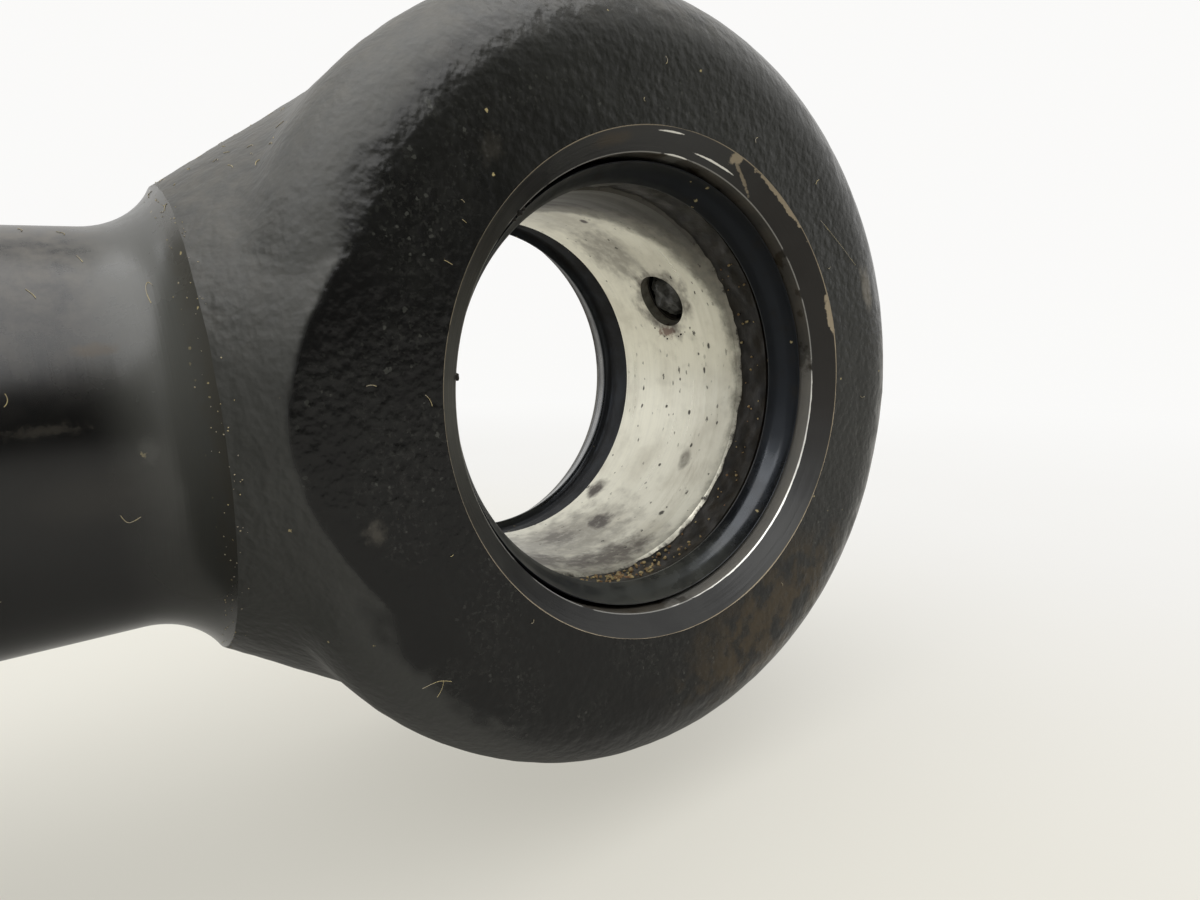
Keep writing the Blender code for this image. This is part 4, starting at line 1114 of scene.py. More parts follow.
def build_base_eye():
    sizes = settings().base_eye
    barrel = settings().barrel
    tube_radius = barrel.bore / 2 + barrel.wall
    finishes = (
        forging_paint("base eye forging paint", BASE_PIN, 0.0),
        turned_paint("end cap paint", ALONG_X, 0.25),
        mouth_paint("base eye mouth paint", BASE_PIN),
    )
    ring = laid(ring_blank(sizes.ring_radius, sizes.ring_rounding), BASE_PIN, "Y")
    neck = base_neck(tube_radius - sizes.neck_rounding / 2)
    eye = forged("base_eye_forging", [ring, neck], sizes.skin, 8, finishes)
    places, facings = vertex_arrays(eye.data)
    lumps = field(places, 11 * MM) * 0.12 * MM
    bumps = (field(places, 2.4 * MM, (1, 1, 0.6)) + 0.6 * field(places, 1.5 * MM)) * 0.08 * MM
    moved_out(eye.data, places, facings, np.minimum(lumps + bumps - 0.22 * MM, 0.0))

    spigot = barrel.bore / 2 - GAP
    edge = 1.5 * MM
    cap_back = sizes.cap_to_pin - sizes.cap_thickness
    spigot_end = sizes.cap_to_pin + sizes.spigot_length
    cap = [(cap_back, 0), (cap_back, tube_radius - edge), (cap_back + edge, tube_radius)]
    cap += [(sizes.cap_to_pin - barrel.weld_chamfer, tube_radius)]
    cap += [(sizes.cap_to_pin, tube_radius - barrel.weld_chamfer), (sizes.cap_to_pin, spigot)]
    cap += [(spigot_end - edge, spigot), (spigot_end, spigot - edge), (spigot_end, 0)]
    combined(eye, [working("cap", laid(spun(cap, 192), BASE_PIN), finishes, 1)], "UNION")
    recess = bar(spigot_end - sizes.recess_depth, spigot_end + edge, sizes.recess_radius, 96)
    oil_way = bar(0, tube_radius, barrel.drilling / 2)
    cutters = [
        working("recess", laid(recess, BASE_PIN), finishes, 1),
        working("oil way", laid(oil_way, on_axis(middle("base_port_boss").x), "Z"), finishes, 1),
        working("bore", bore_cutter(BASE_PIN), finishes, 2),
    ]
    tilt = math.pi - settings().pin.grease_angle
    cutters += grease_way_cutters(BASE_PIN, sizes.ring_radius, tilt, finishes)
    combined(eye, cutters, "DIFFERENCE")
    fitted(eye, "barrel", ["base_eye"], limit=40.0)


def build_bush(end, node, pin, tilt, body):
    """The bush of one eye, drilled for grease."""
    sizes = settings().pin
    half = sizes.eye_width / 2 - sizes.bush_depth
    inner = sizes.pin_bore / 2
    outer = inner + sizes.bush_wall - GAP
    edge = sizes.bush_wall / 4
    straight = half - edge
    section = [(-half, outer), (half, outer), (half, inner + edge), (straight, inner)]
    section += [(straight - i * straight / 6, inner) for i in range(1, 12)]
    section += [(-straight, inner), (-half, inner + edge)]
    finishes = (bush_steel(end + " bush steel", pin, end == "rod_eye"),)
    bush = working(end + "_bush", laid(spun(section, 256), pin, "Y"), finishes)
    drill = laid(bar(inner / 2, outer * 1.2, sizes.grease_hole / 2, 72), pin, "X", tilt)
    combined(bush, [working("drill", drill, finishes)], "DIFFERENCE")
    fitted(bush, body, [node], edge=0.12 * MM, limit=40.0)


def build_pin_seal(name, node, pin, side, body, rubber):
    """A lip seal: rounded front, lip ridge, hollow and flat back."""
    sizes = settings().pin
    half = sizes.eye_width / 2
    inner = sizes.pin_bore / 2
    back = sizes.bush_depth - GAP
    lip = [
        (0.9, 1.29), (0.15, 1.2), (0.0, 1.08), (0.4, 0.98), (1.1, 0.70), (1.7, 0.36), (2.2, 0.08),
        (2.7, -0.12), (3.1, -0.22), (3.4, 0.02), (3.75, 0.5), (4.3, 0.62), (5.4, 0.5), (7.4, 0.55),
    ]
    face = [point for point in eased(in_mm(lip, sizes.seal_depth, inner)) if point[0] <= back]
    section = [(back, inner + sizes.bush_wall - GAP)] + face
    section = [(side * (half - depth), radius) for depth, radius in section]
    seal = working(name, laid(spun(section, 224), pin, "Y"), (rubber,))
    fitted(seal, body, [node], limit=50.0)


def build_grease_fitting(name, node, pin, ring_radius, tilt, body, finishes):
    """A straight grease fitting: stem, hexagon, waist, rounded nipple and its ball."""
    seat = ring_radius - settings().pin.seat_depth + GAP
    tip = 9.5
    nipple = [
        (3.2, 3.2), (4.4, 2.55), (5.8, 2.25), (6.6, 2.4), (7.4, 3.05), (8.1, 3.15), (8.8, 2.5), (9.25, 1.8),
        (tip, 1.35),
    ]
    outline = in_mm([(-6, 0), (-6, 2.8), (-5.6, 3.1), (1.6, 3.1)], seat)
    outline += eased(in_mm(nipple, seat)) + in_mm([(tip, 0.8), (tip - 0.3, 0.7), (tip - 0.3, 0)], seat)
    fitting = working(name, laid(spun(outline, 64), pin, "X", tilt), finishes)
    nut = in_mm([(0, 0), (0, 4.0), (0.4, 4.62), (2.7, 4.62), (3.2, 4.0), (3.2, 0)], seat)
    combined(fitting, [working("hexagon", laid(spun(nut, 6), pin, "X", tilt), finishes)], "UNION")
    fitted(fitting, body, [node], edge=0.12 * MM, limit=30.0)
    ball = bmesh.new()
    radius = 0.72 * MM
    bmesh.ops.create_uvsphere(ball, u_segments=24, v_segments=12, radius=radius)
    bmesh.ops.translate(ball, verts=ball.verts, vec=(seat + tip * MM - radius, 0, 0))
    fitted(working(name + "_ball", laid(ball, pin, "X", tilt), finishes, 1), body)


def build_grime(name, pin, body, grime):
    """The band of old grease between the near seal and the bush, lumpy and uneven."""
    sizes = settings().pin
    half = sizes.eye_width / 2
    inner = sizes.pin_bore / 2
    start = sizes.seal_depth + 4.0 * MM
    end = sizes.bush_depth + 0.25 * MM
    rows = 10
    section = [(start, inner + 0.8 * MM), (end, inner + 0.8 * MM)]
    section += [(end + (start - end) * i / rows, inner + 0.32 * MM) for i in range(rows + 1)]
    section = [(depth - half, radius) for depth, radius in section]
    band = working(name, laid(spun(section, 320), pin, "Y"), (grime,))
    places, facings = vertex_arrays(band.data)
    local = places - np.array(pin)
    free = np.hypot(local[:, 0], local[:, 2]) < inner + 0.6 * MM
    lumps = 0.20 * field(places, 2.6 * MM) + 0.16 * field(places, 1.0 * MM)
    moved_out(band.data, places, facings, np.where(free, lumps * MM, 0.0))
    fitted(band, body, limit=60.0)


def crumb(place, size, rng, shape):
    """Adds one angular crumb at a place."""
    made = bmesh.ops.create_icosphere(shape, subdivisions=2, radius=size)["verts"]
    stretch = Vector((rng.uniform(0.6, 1.3), rng.uniform(0.6, 1.3), rng.uniform(0.5, 1.1)))
    turn = Euler([rng.uniform(0, TAU) for _ in range(3)]).to_matrix()
    shift = Vector([rng.uniform(0, 50) for _ in range(3)])
    for vert in made:
        bend = 1 + 0.45 * noise.noise(vert.co * (1.4 / size) + shift)
        vert.co = place + turn @ (vert.co * stretch * bend)


def round_pin(pin, degrees, radius, depth):
    """The point at an angle about a pin, at a radius and a depth from the near face."""
    turn = math.radians(degrees)
    near = pin.y - settings().pin.eye_width / 2
    return Vector((pin.x + radius * math.cos(turn), near + depth, pin.z + radius * math.sin(turn)))


def build_bore_dirt():
    """Rusty crumbs in the seam, grease in the hole of the bush, and bits stuck to the mouth."""
    finish = settings().finish
    sizes = settings().pin
    inner = sizes.pin_bore / 2
    rng = random.Random(11)

    def laid_crumbs(name, crumbs, material):
        """One object of crumbs, each with its angle, radius in metres, depth and size in millimetres."""
        shape = bmesh.new()
        for degrees, radius, depth, size in crumbs:
            crumb(round_pin(ROD_PIN, degrees, radius, depth * MM), size * MM, rng, shape)
        fitted(working(name, shape, (material,)), "rod", limit=60.0)

    def seam_crumbs():
        for _ in range(110):
            yield rng.gauss(-90, 10), inner + 0.25 * MM, rng.uniform(7.8, 10.4), rng.uniform(0.07, 0.26)
        for _ in range(40):
            yield rng.uniform(-75, 40), inner + 0.3 * MM, rng.uniform(7.6, 10.4), rng.uniform(0.08, 0.2)

    rusty = dirt("rust crumbs", finish.rust, times(finish.straw, 0.7), 1500.0, 0.8)
    laid_crumbs("bore_crumbs", seam_crumbs(), rusty)
    dark = dirt("mouth crumbs", finish.grime, times(finish.grime, 0.3), 1500.0, 0.7)
    housing = inner + sizes.bush_wall - 0.05 * MM
    at_mouth = ((171.5, 0.26), (134.5, 0.2), (132.5, 0.36), (131, 0.22), (128.5, 0.12))
    laid_crumbs("mouth_crumbs", [(degrees, housing, 2.0, size) for degrees, size in at_mouth], dark)
    on_bush = (
        (13.4, 20.0, 0.16), (12.6, 20.5, 0.10), (14.2, 19.2, 0.08), (11.8, 22.7, 0.17), (12.8, 23.1, 0.12),
        (16.2, 24.6, 0.10),
    )
    laid_crumbs("bush_crumbs", [(degrees, inner, depth, size) for degrees, depth, size in on_bush], dark)

    grey = dirt("used grease", finish.grease, times(finish.grease, 0.25), 700.0, 0.35, 0.25)
    plug = bmesh.new()
    bmesh.ops.create_uvsphere(plug, u_segments=48, v_segments=32, radius=3.25 * MM)
    for vert in plug.verts:
        bend = 1 + 0.30 * noise.noise(vert.co / (1.5 * MM)) + 0.2 * noise.noise(vert.co / (0.7 * MM))
        flat = min(bend, 1.0)
        vert.co = vert.co * Vector((0.62 * bend, flat, flat))
    bmesh.ops.translate(plug, verts=plug.verts, vec=(inner + 2.5 * MM, 0, 0))
    plug = laid(plug, ROD_PIN, "X", sizes.grease_angle)
    fitted(working("grease_in_hole", plug, (grey,)), "rod", limit=60.0)


def fibre(points, thickness, shape):
    """Adds a fine bent fibre through the points."""
    curve = bpy.data.curves.new("fibre", "CURVE")
    curve.dimensions = "3D"
    curve.bevel_depth = thickness / 2
    curve.bevel_resolution = 2
    curve.use_fill_caps = True
    spline = curve.splines.new("NURBS")
    spline.points.add(len(points) - 1)
    for point, place in zip(spline.points, points):
        point.co = (*place, 1)
    spline.order_u = 3
    spline.use_endpoint_u = True
    obj = bpy.data.objects.new("fibre", curve)
    bpy.context.scene.collection.objects.link(obj)
    graph = bpy.context.evaluated_depsgraph_get()
    mesh = bpy.data.meshes.new_from_object(obj.evaluated_get(graph))
    bpy.data.objects.remove(obj)
    shape.from_mesh(mesh)
    bpy.data.meshes.remove(mesh)


def build_lint():
    """Short pale fibres that lie on the face, the neck and the shank."""
    finish = settings().finish
    straw = dirt("pale lint", finish.straw, times(finish.dust, 1.5), 900.0, 0.8)
    eye = bpy.data.objects["rod_eye_forging"]
    rng = random.Random(5)
    whole = bmesh.new()

    def on_face(degrees, radius):
        return round_pin(ROD_PIN, degrees, radius * MM, -0.06 * MM)

    def on_shank(x, turn):
        thin = settings().rod_eye.rod_diameter / 2 + 0.03 * MM
        return ROD_PIN + Vector((x * MM, -thin * math.cos(turn), thin * math.sin(turn)))

    def on_neck(x, turn):
        """The point that a line towards the cylinder's axis meets, at a turn above the near side."""
        out = Vector((0, -math.cos(turn), math.sin(turn)))
        _, place, facing, _ = eye.ray_cast(ROD_PIN + Vector((x * MM, 0, 0)) + out * 60 * MM, -out)
        return place + facing * 0.02 * MM

    def lay(surface, points, thickness):
        fibre([surface(*point) for point in points], thickness * MM, whole)

    # The forked fibre low on the face, then those that lie apart
    lay(on_face, [(-143.5, 32.6), (-142.8, 31.8), (-141.8, 31.2), (-140.6, 30.9)], 0.035)
    lay(on_face, [(-141.8, 31.2), (-140.9, 31.7), (-140.9, 32.4)], 0.03)
    lay(on_shank, [(-42.7, -0.26), (-42.5, -0.295), (-42.1, -0.30), (-41.6, -0.28)], 0.06)
    lay(on_neck, [(-39.0, 0.60), (-39.2, 0.66), (-38.9, 0.72), (-38.7, 0.68)], 0.05)
    lay(on_face, [(37.5, 25.1), (30.5, 26.3), (23.0, 27.8)], 0.03)
    lay(on_face, [(177.0, 23.4), (175.7, 23.5), (175.0, 23.9)], 0.035)
    for _ in range(13):
        degrees, radius = rng.uniform(-180, 180), rng.uniform(23.5, 28.0)
        bend = rng.uniform(-0.8, 0.8)
        span = rng.uniform(0.25, 0.7)
        points = [(degrees, radius), (degrees + bend, radius + span / 2), (degrees, radius + span)]
        lay(on_face, points, rng.uniform(0.03, 0.045))
    for _ in range(24):
        x, turn = rng.uniform(-60, -42), rng.uniform(-0.6, 2.2)
        points = [(x, turn), (x + rng.uniform(-0.4, 0.4), turn + 0.02)]
        points += [(x + rng.uniform(-0.5, 0.5), turn + 0.05)]
        lay(on_shank, points, rng.uniform(0.03, 0.05))
    for _ in range(26):
        x, turn = rng.uniform(-37.2, -27.0), rng.uniform(0.95, 1.7)
        points = [(x, turn), (x + rng.uniform(-0.3, 0.3), turn + rng.uniform(0.01, 0.03))]
        points += [(x + rng.uniform(-0.4, 0.4), turn + rng.uniform(-0.02, 0.05))]
        lay(on_neck, points, rng.uniform(0.03, 0.05))
    for _ in range(110):
        place = on_neck(rng.gauss(-36.7, 0.45), rng.uniform(-1.2, 1.6))
        crumb(place, rng.uniform(0.02, 0.055) * MM, rng, whole)
    fitted(working("surface_lint", whole, (straw,)), "rod", limit=80.0)


def build_pin_joints():
    finish = settings().finish
    grease_angle = settings().pin.grease_angle
    fitting_steel = (
        plated("zinc plating", finish.zinc, 0.32, ALL_WAYS, 900.0),
        plated("bright ball steel", finish.bare_steel, 0.2, ALL_WAYS, 900.0),
    )
    grime = dirt("old grease", finish.grime, times(finish.grime, 0.3), 420.0, 0.5, 0.12)
    rod_ring, base_ring = settings().rod_eye.ring_radius, settings().base_eye.ring_radius
    ends = (
        ("rod_eye", "rod_eye_bushing", "rod_eye_seal_", ROD_PIN, grease_angle, "rod", rod_ring),
        ("base", "base_bushing", "base_pin_seal_", BASE_PIN, math.pi - grease_angle, "barrel", base_ring),
    )
    for end, bush_node, seal_node, pin, tilt, body, ring_radius in ends:
        build_bush(end, bush_node, pin, tilt, body)
        rubber = seal_rubber(end + " seal rubber", pin)
        for side, word in ((-1, "left"), (1, "right")):
            build_pin_seal(end + "_lip_seal_" + word, seal_node + word, pin, side, body, rubber)
        build_grime(end + "_old_grease", pin, body, grime)
        fitting_node = end + "_grease_fitting"
        build_grease_fitting(end + "_fitting", fitting_node, pin, ring_radius, tilt, body, fitting_steel)


def rippled(obj, centre_x, half_width, pitch, depth):
    """Presses a weld's ripples into the vertices near its middle, with some unevenness."""
    sizes = settings().barrel
    places, facings = vertex_arrays(obj.data)
    radius = np.hypot(places[:, 1], places[:, 2] - AXIS)
    turn = np.arctan2(places[:, 2] - AXIS, places[:, 1])
    across = (places[:, 0] - centre_x) / half_width
    on_bead = np.clip(1.15 - np.abs(across), 0, 1) * (radius > sizes.bore / 2 + sizes.wall)
    along = turn * radius + across * across * pitch * 0.9
    wander = field(places, 7 * MM) * 0.5
    ripple = np.abs(np.sin(math.pi * (along / pitch + wander)))
    moved_out(obj.data, places, facings, -(1 - ripple) * depth * on_bead)


def build_barrel():
    sizes = settings().barrel
    inner = sizes.bore / 2
    tube_radius = inner + sizes.wall
    paint = turned_paint("barrel paint", ALL_WAYS, 0.25, 500.0)
    cap = BASE_PIN.x + settings().base_eye.cap_to_pin
    lift = GAP * 1.5
    weld_end = cap + sizes.weld_half_width
    toe = cap - sizes.weld_chamfer - sizes.weld_half_width / 4
    bead = [
        (toe, tube_radius + lift), (toe + 1.6 * MM, tube_radius + 1.35 * MM),
        (cap - 1.6 * MM, tube_radius + 1.75 * MM), (cap, tube_radius + sizes.weld_crown),
        (cap + 2.2 * MM, tube_radius + 1.3 * MM), (weld_end, tube_radius),
    ]
    chamfer = 1.5 * MM
    rows = 40
    run = TUBE_END - chamfer - weld_end
    section = [(cap + GAP, inner), (cap + GAP, tube_radius - sizes.weld_chamfer + lift)]
    section += [(cap - sizes.weld_chamfer + lift, tube_radius + lift)] + eased(bead, 6)
    section += [(weld_end + run * i / rows, tube_radius) for i in range(1, rows + 1)]
    section += [(TUBE_END, tube_radius - chamfer), (TUBE_END, inner + chamfer / 2)]
    section += [(TUBE_END - chamfer, inner)]
    tube = working("barrel_body", laid(spun(section, 432), on_axis(0)), (paint,))
    rippled(tube, cap - 0.8 * MM, sizes.weld_half_width + 0.4 * MM, sizes.ripple_pitch, sizes.ripple_depth)
    ports = ("base_port_boss", "head_port_boss")
    drills = []
    for node in ports:
        way = bar(inner / 2, tube_radius * 1.2, sizes.drilling / 2)
        drills.append(working("way", laid(way, on_axis(middle(node).x), "Z"), (paint,)))
    combined(tube, drills, "DIFFERENCE")
    fitted(tube, "barrel", ["barrel_tube"])
    for node in ports:
        build_port(node, paint)
        build_port_weld(node, paint)


def build_port(node, paint):
    """A turned port boss, saddled on the tube."""
    sizes = settings().barrel
    x = middle(node).x
    tube_radius = sizes.bore / 2 + sizes.wall
    saddle = tube_radius + GAP
    face = tube_radius + sizes.boss_height
    spot = face - sizes.seat_depth
    step = face - sizes.port_depth
    low = sizes.bore / 2
    edge = 1.2 * MM
    countersink = 1.4 * MM
    pitch = 1.5 * MM
    thread_depth = 0.55 * MM
    runout = 2 * MM
    bore = sizes.port_bore / 2
    way = sizes.drilling / 2
    seat = sizes.port_seat / 2
    section = [(low, way), (low, sizes.boss_radius), (face - edge, sizes.boss_radius)]
    section += [(face, sizes.boss_radius - edge), (face, seat), (spot, seat), (spot, bore + countersink)]
    top = spot - countersink
    section += [(top, bore)]
    for i in range(int((top - step - runout) / pitch)):
        crest = top - 0.6 * MM - i * pitch
        section += [(crest, bore), (crest - pitch / 2, bore + thread_depth)]
    section += [(step, bore), (step - runout, way)]
    grey = times(settings().finish.bare_steel, 0.55)
    finishes = (paint, plated(node + " port steel", grey, 0.34, (0.02, 0.02, 1.0)))
    boss = working(node + "_body", laid(spun(section, 128), on_axis(x), "Z"), finishes)
    saddle_cutter = laid(bar(-2 * sizes.boss_radius, 2 * sizes.boss_radius, saddle, 256), on_axis(x))
    combined(boss, [working("saddle", saddle_cutter, finishes)], "DIFFERENCE")
    for polygon in boss.data.polygons:
        spot_radius = math.hypot(polygon.center.x - x, polygon.center.y)
        if spot_radius < seat + 0.1 * MM and polygon.center.z > AXIS + saddle:
            polygon.material_index = 1
    fitted(boss, "barrel", [node], edge=0.15 * MM)


def build_port_weld(node, paint):
    """The rippled fillet weld round a port boss."""
    sizes = settings().barrel
    x = middle(node).x
    saddle = sizes.bore / 2 + sizes.wall + GAP
    steps = 360
    leg = sizes.weld_leg
    under = -0.2 * MM
    profile = (
        (0.3 * MM, leg * 0.95), (leg * 0.35, leg * 0.62), (leg * 0.68, leg * 0.36), (leg, 0.02 * MM),
        (leg * 0.5, under), (0.3 * MM, under),
    )
    weld = bmesh.new()
    loops = []
    for i in range(steps):
        turn = TAU * i / steps
        ripple = 1 - abs(math.sin(math.pi * (turn * (sizes.boss_radius + leg / 2) / sizes.ripple_pitch)))
        wander = 0.35 * MM * noise.noise(Vector((math.cos(turn), math.sin(turn), 0)) * 4)
        loop = []
        for out, up in profile:
            is_outside = out > 0.4 * MM
            press = ripple * sizes.ripple_depth if is_outside and up > 0.1 * MM else 0.0
            far = sizes.boss_radius + out + wander * is_outside - press
            y = far * math.sin(turn)
            height = math.sqrt(saddle**2 - y * y) + up - press
            loop.append(weld.verts.new((x + far * math.cos(turn), y, AXIS + height)))
        loops.append(loop)
    for one, two in zip(loops, loops[1:] + loops[:1]):
        for k in range(len(one)):
            weld.faces.new((one[k], one[k - 1], two[k - 1], two[k]))
    bmesh.ops.recalc_face_normals(weld, faces=weld.faces)
    fitted(working(node + "_weld", weld, (paint,)), "barrel", limit=60.0)


def collar_notch(turn):
    """The cutter of one spanner notch in the gland's collar."""
    sizes = settings().gland
    half = Vector((18 * MM, sizes.notch_width, 2 * sizes.notch_depth)) / 2
    notch = block(-half, half)
    long_edges = [edge for edge in notch.edges if abs(edge.verts[0].co.x - edge.verts[1].co.x) > MM]
    bmesh.ops.bevel(notch, geom=long_edges, offset=0.6 * MM, segments=3, affect="EDGES")
    bmesh.ops.translate(notch, verts=notch.verts, vec=(COLLAR_FACE, 0, COLLAR_RADIUS))
    matrix = Matrix.Translation(on_axis(0)) @ Matrix.Rotation(turn, 4, "X")
    bmesh.ops.transform(notch, matrix=matrix, verts=notch.verts)
    return notch


def build_gland():
    sizes = settings().gland
    insert = settings().barrel.bore / 2 - GAP
    edge = sizes.edge
    seat = COLLAR_FACE - sizes.collar_thickness
    rod_radius = settings().rod_eye.rod_diameter / 2 + GAP
    groove_start = reach("gland_o_ring")[0] - GAP
    groove_end = reach("gland_backup_ring")[1] + GAP
    groove_floor = insert - 3.4 * MM
    nose_end = GLAND_NOSE + sizes.nose_length
    lip_start, lip_end, lip_outer = reach("rod_wiper")
    section = [(GLAND_NOSE, rod_radius), (GLAND_NOSE, sizes.nose_radius), (nose_end, sizes.nose_radius)]
    section += [(nose_end, insert - edge), (nose_end + edge, insert), (groove_start, insert)]
    section += [(groove_start, groove_floor), (groove_end, groove_floor), (groove_end, insert)]
    section += [(seat, insert), (seat, COLLAR_RADIUS - edge), (seat + edge, COLLAR_RADIUS)]
    section += [(COLLAR_FACE - edge, COLLAR_RADIUS), (COLLAR_FACE, COLLAR_RADIUS - edge)]
    section += [(COLLAR_FACE, lip_outer + GAP), (lip_start - GAP, lip_outer + GAP)]
    section += [(lip_start - GAP, rod_radius)]
    for node in ("rod_seal", "rod_buffer_seal", "gland_guide_ring"):
        start, end, radius = reach(node)
        section += [(end + GAP, rod_radius), (end + GAP, radius + GAP), (start - GAP, radius + GAP)]
        section += [(start - GAP, rod_radius)]
    paint = turned_paint("gland paint", ALONG_X, 0.25, 1800.0)
    gland = working("gland_body", laid(spun(section, 224), on_axis(0)), (paint,))
    turns = [TAU * (i + 0.5) / 6 + TAU / 4 for i in range(6)]
    combined(gland, [working("notch", collar_notch(turn), (paint,)) for turn in turns], "DIFFERENCE")
    fitted(gland, "barrel", ["gland"], edge=0.25 * MM)

    middle_radius = (rod_radius + lip_outer) / 2
    lip = [
        (lip_start, lip_outer), (COLLAR_FACE - GAP, lip_outer), (COLLAR_FACE, middle_radius + 0.4 * MM),
        (COLLAR_FACE + 0.1 * MM, middle_radius), (lip_end - 0.15 * MM, rod_radius + 0.65 * MM),
        (lip_end, rod_radius + 0.3 * MM), (lip_end - 0.1 * MM, rod_radius),
        (COLLAR_FACE, rod_radius + 0.4 * MM), (lip_start, rod_radius + 0.4 * MM),
    ]
    plastic = moulded("wiper plastic", settings().finish.polyurethane, 0.38)
    wiper = working("wiper_lip", laid(spun(lip, 192), on_axis(0)), (plastic,))
    fitted(wiper, "barrel", ["rod_wiper"], edge=0.12 * MM)


def build_piston_rod():
    """The ground and chromed rod, with its thread for the piston nut."""
    start, end, radius = reach("piston_rod")
    shoulder = reach("piston")[1] + GAP
    nut_front = reach("piston_nut")[1]
    thread = 12.0 * MM
    thread_depth = 1.0 * MM
    pitch = 2.0 * MM
    chamfer = 1.5 * MM
    edge = 0.6 * MM
    rows = 24
    outline = [(start, 0), (start, thread - chamfer), (start + chamfer, thread)]
    for i in range(int((nut_front - start - 2 * MM) / pitch)):
        crest = start + 2.0 * MM + i * pitch
        outline += [(crest, thread), (crest + pitch / 2, thread - thread_depth)]
    outline += [(nut_front, thread), (shoulder, thread), (shoulder, radius - chamfer)]
    outline += [(shoulder + chamfer, radius)]
    run = end - shoulder - 3 * MM
    outline += [(shoulder + 2 * MM + run * i / rows, radius) for i in range(rows + 1)]
    outline += [(end - edge, radius), (end, radius - edge), (end, 0)]
    chrome = plated("hard chrome", settings().finish.chrome, 0.16, (1.0, 0.05, 0.05), 5000.0)
    rod = working("chromed_rod", laid(spun(outline, 160), on_axis(0)), (chrome,))
    fitted(rod, "rod", ["piston_rod"])


def finish_inner_parts():
    """Finishes for the nodes that stay as they are, inside the barrel."""
    finish = settings().finish
    around = (1.0, 0.03, 0.03)
    materials = {
        "machined_steel": plated("machined piston steel", finish.bare_steel, 0.34, around),
        "zinc_steel": plated("nut plating", finish.zinc, 0.34, around),
        "black_rubber": moulded("ring rubber", finish.rubber, 0.4),
        "seal_polyurethane": moulded("seal polyurethane", finish.polyurethane, 0.4),
        "guide_plastic": moulded("guide ring resin", finish.guide_plastic, 0.5),
        "backup_plastic": moulded("backup ring plastic", finish.backup_plastic, 0.45),
    }
    slots = {part["node"]: part["material_slot"] for part in frame["record"]["subparts"]}
    for name, node in frame["nodes"].items():
        if not node.hide_render:
            node.data.materials.clear()
            node.data.materials.append(materials[slots[name]])


def panel(name, size, place, aim, radiance, tint=(1.0, 1.0, 1.0)):
    """A soft rectangular lamp that looks at a point; its radiance is the same at any size."""
    lamp = bpy.data.lights.new(name, "AREA")
    lamp.shape = "RECTANGLE"
    lamp.size, lamp.size_y = size
    lamp.energy = radiance * math.pi * size[0] * size[1]
    lamp.color = tint
    obj = bpy.data.objects.new(name, lamp)
    obj.location = place
    obj.rotation_euler = (Vector(aim) - Vector(place)).to_track_quat("-Z", "Y").to_euler()
    bpy.context.scene.collection.objects.link(obj)


def floor_material():
    """A pale matt floor that, for the camera alone, glows dimmer and warmer near the cylinder as a painted
    shade and fades into a bright haze away from it.
    """
    material = bpy.data.materials.new("pale floor")
    material.use_nodes = True
    wires = Wiring(material.node_tree)
    nodes = material.node_tree.nodes
    shader = nodes["Principled BSDF"]
    where = wires.add("TexCoord").outputs["Object"]
    cloud = wires.noise(where, 9.0, 4.0, 0.6)
    tone = wires.mix(wires.span(cloud, 0.35, 0.7), settings().finish.floor, FLOOR_SHADE)
    wires.feed(shader.inputs["Base Color"], tone)
    shader.inputs["Roughness"].default_value = 0.6
    away = wires.distance(where)
    # Painted shade: the glow near the cylinder is dimmer and warmer, away from it bright
    haze = wires.mix(wires.span(away, 0.30, 0.42), NEAR_PAINTED_SHADE, FAR_HAZE)
    glow = wires.add("Emission", {"Color": haze, "Strength": 1.0})
    path = wires.add("LightPath").outputs
    seen = wires.product(path["Is Camera Ray"], wires.span(away, 0.315, 0.62, 0.56, 1.0))
    share = wires.plus(path["Is Glossy Ray"], seen, 0.1)
    blend = wires.add("MixShader", {0: share, 1: shader.outputs[0], 2: glow.outputs[0]})
    wires.feed(nodes["Material Output"].inputs["Surface"], blend.outputs[0])
    return material


def build_surround():
    """A bright world, dim only where a photographer would stand."""
    studio = settings().studio
    world = bpy.data.worlds.new("bright surround")
    bpy.context.scene.world = world
    world.use_nodes = True
    wires = Wiring(world.node_tree)
    x, y, _ = wires.parts(wires.add("TexCoord").outputs["Generated"])
    toward = wires.plus(x, wires.product(y, -0.99), 0.06)
    level = wires.span(toward, 0.52, 0.93, studio.surround, studio.camera_side)
    shown = wires.add("LightPath").outputs["Is Camera Ray"]
    back = world.node_tree.nodes["Background"].inputs
    wires.feed(back["Strength"], wires.most(level, wires.product(shown, 0.96)))
    back["Color"].default_value = (1.0, 0.995, 0.985, 1)


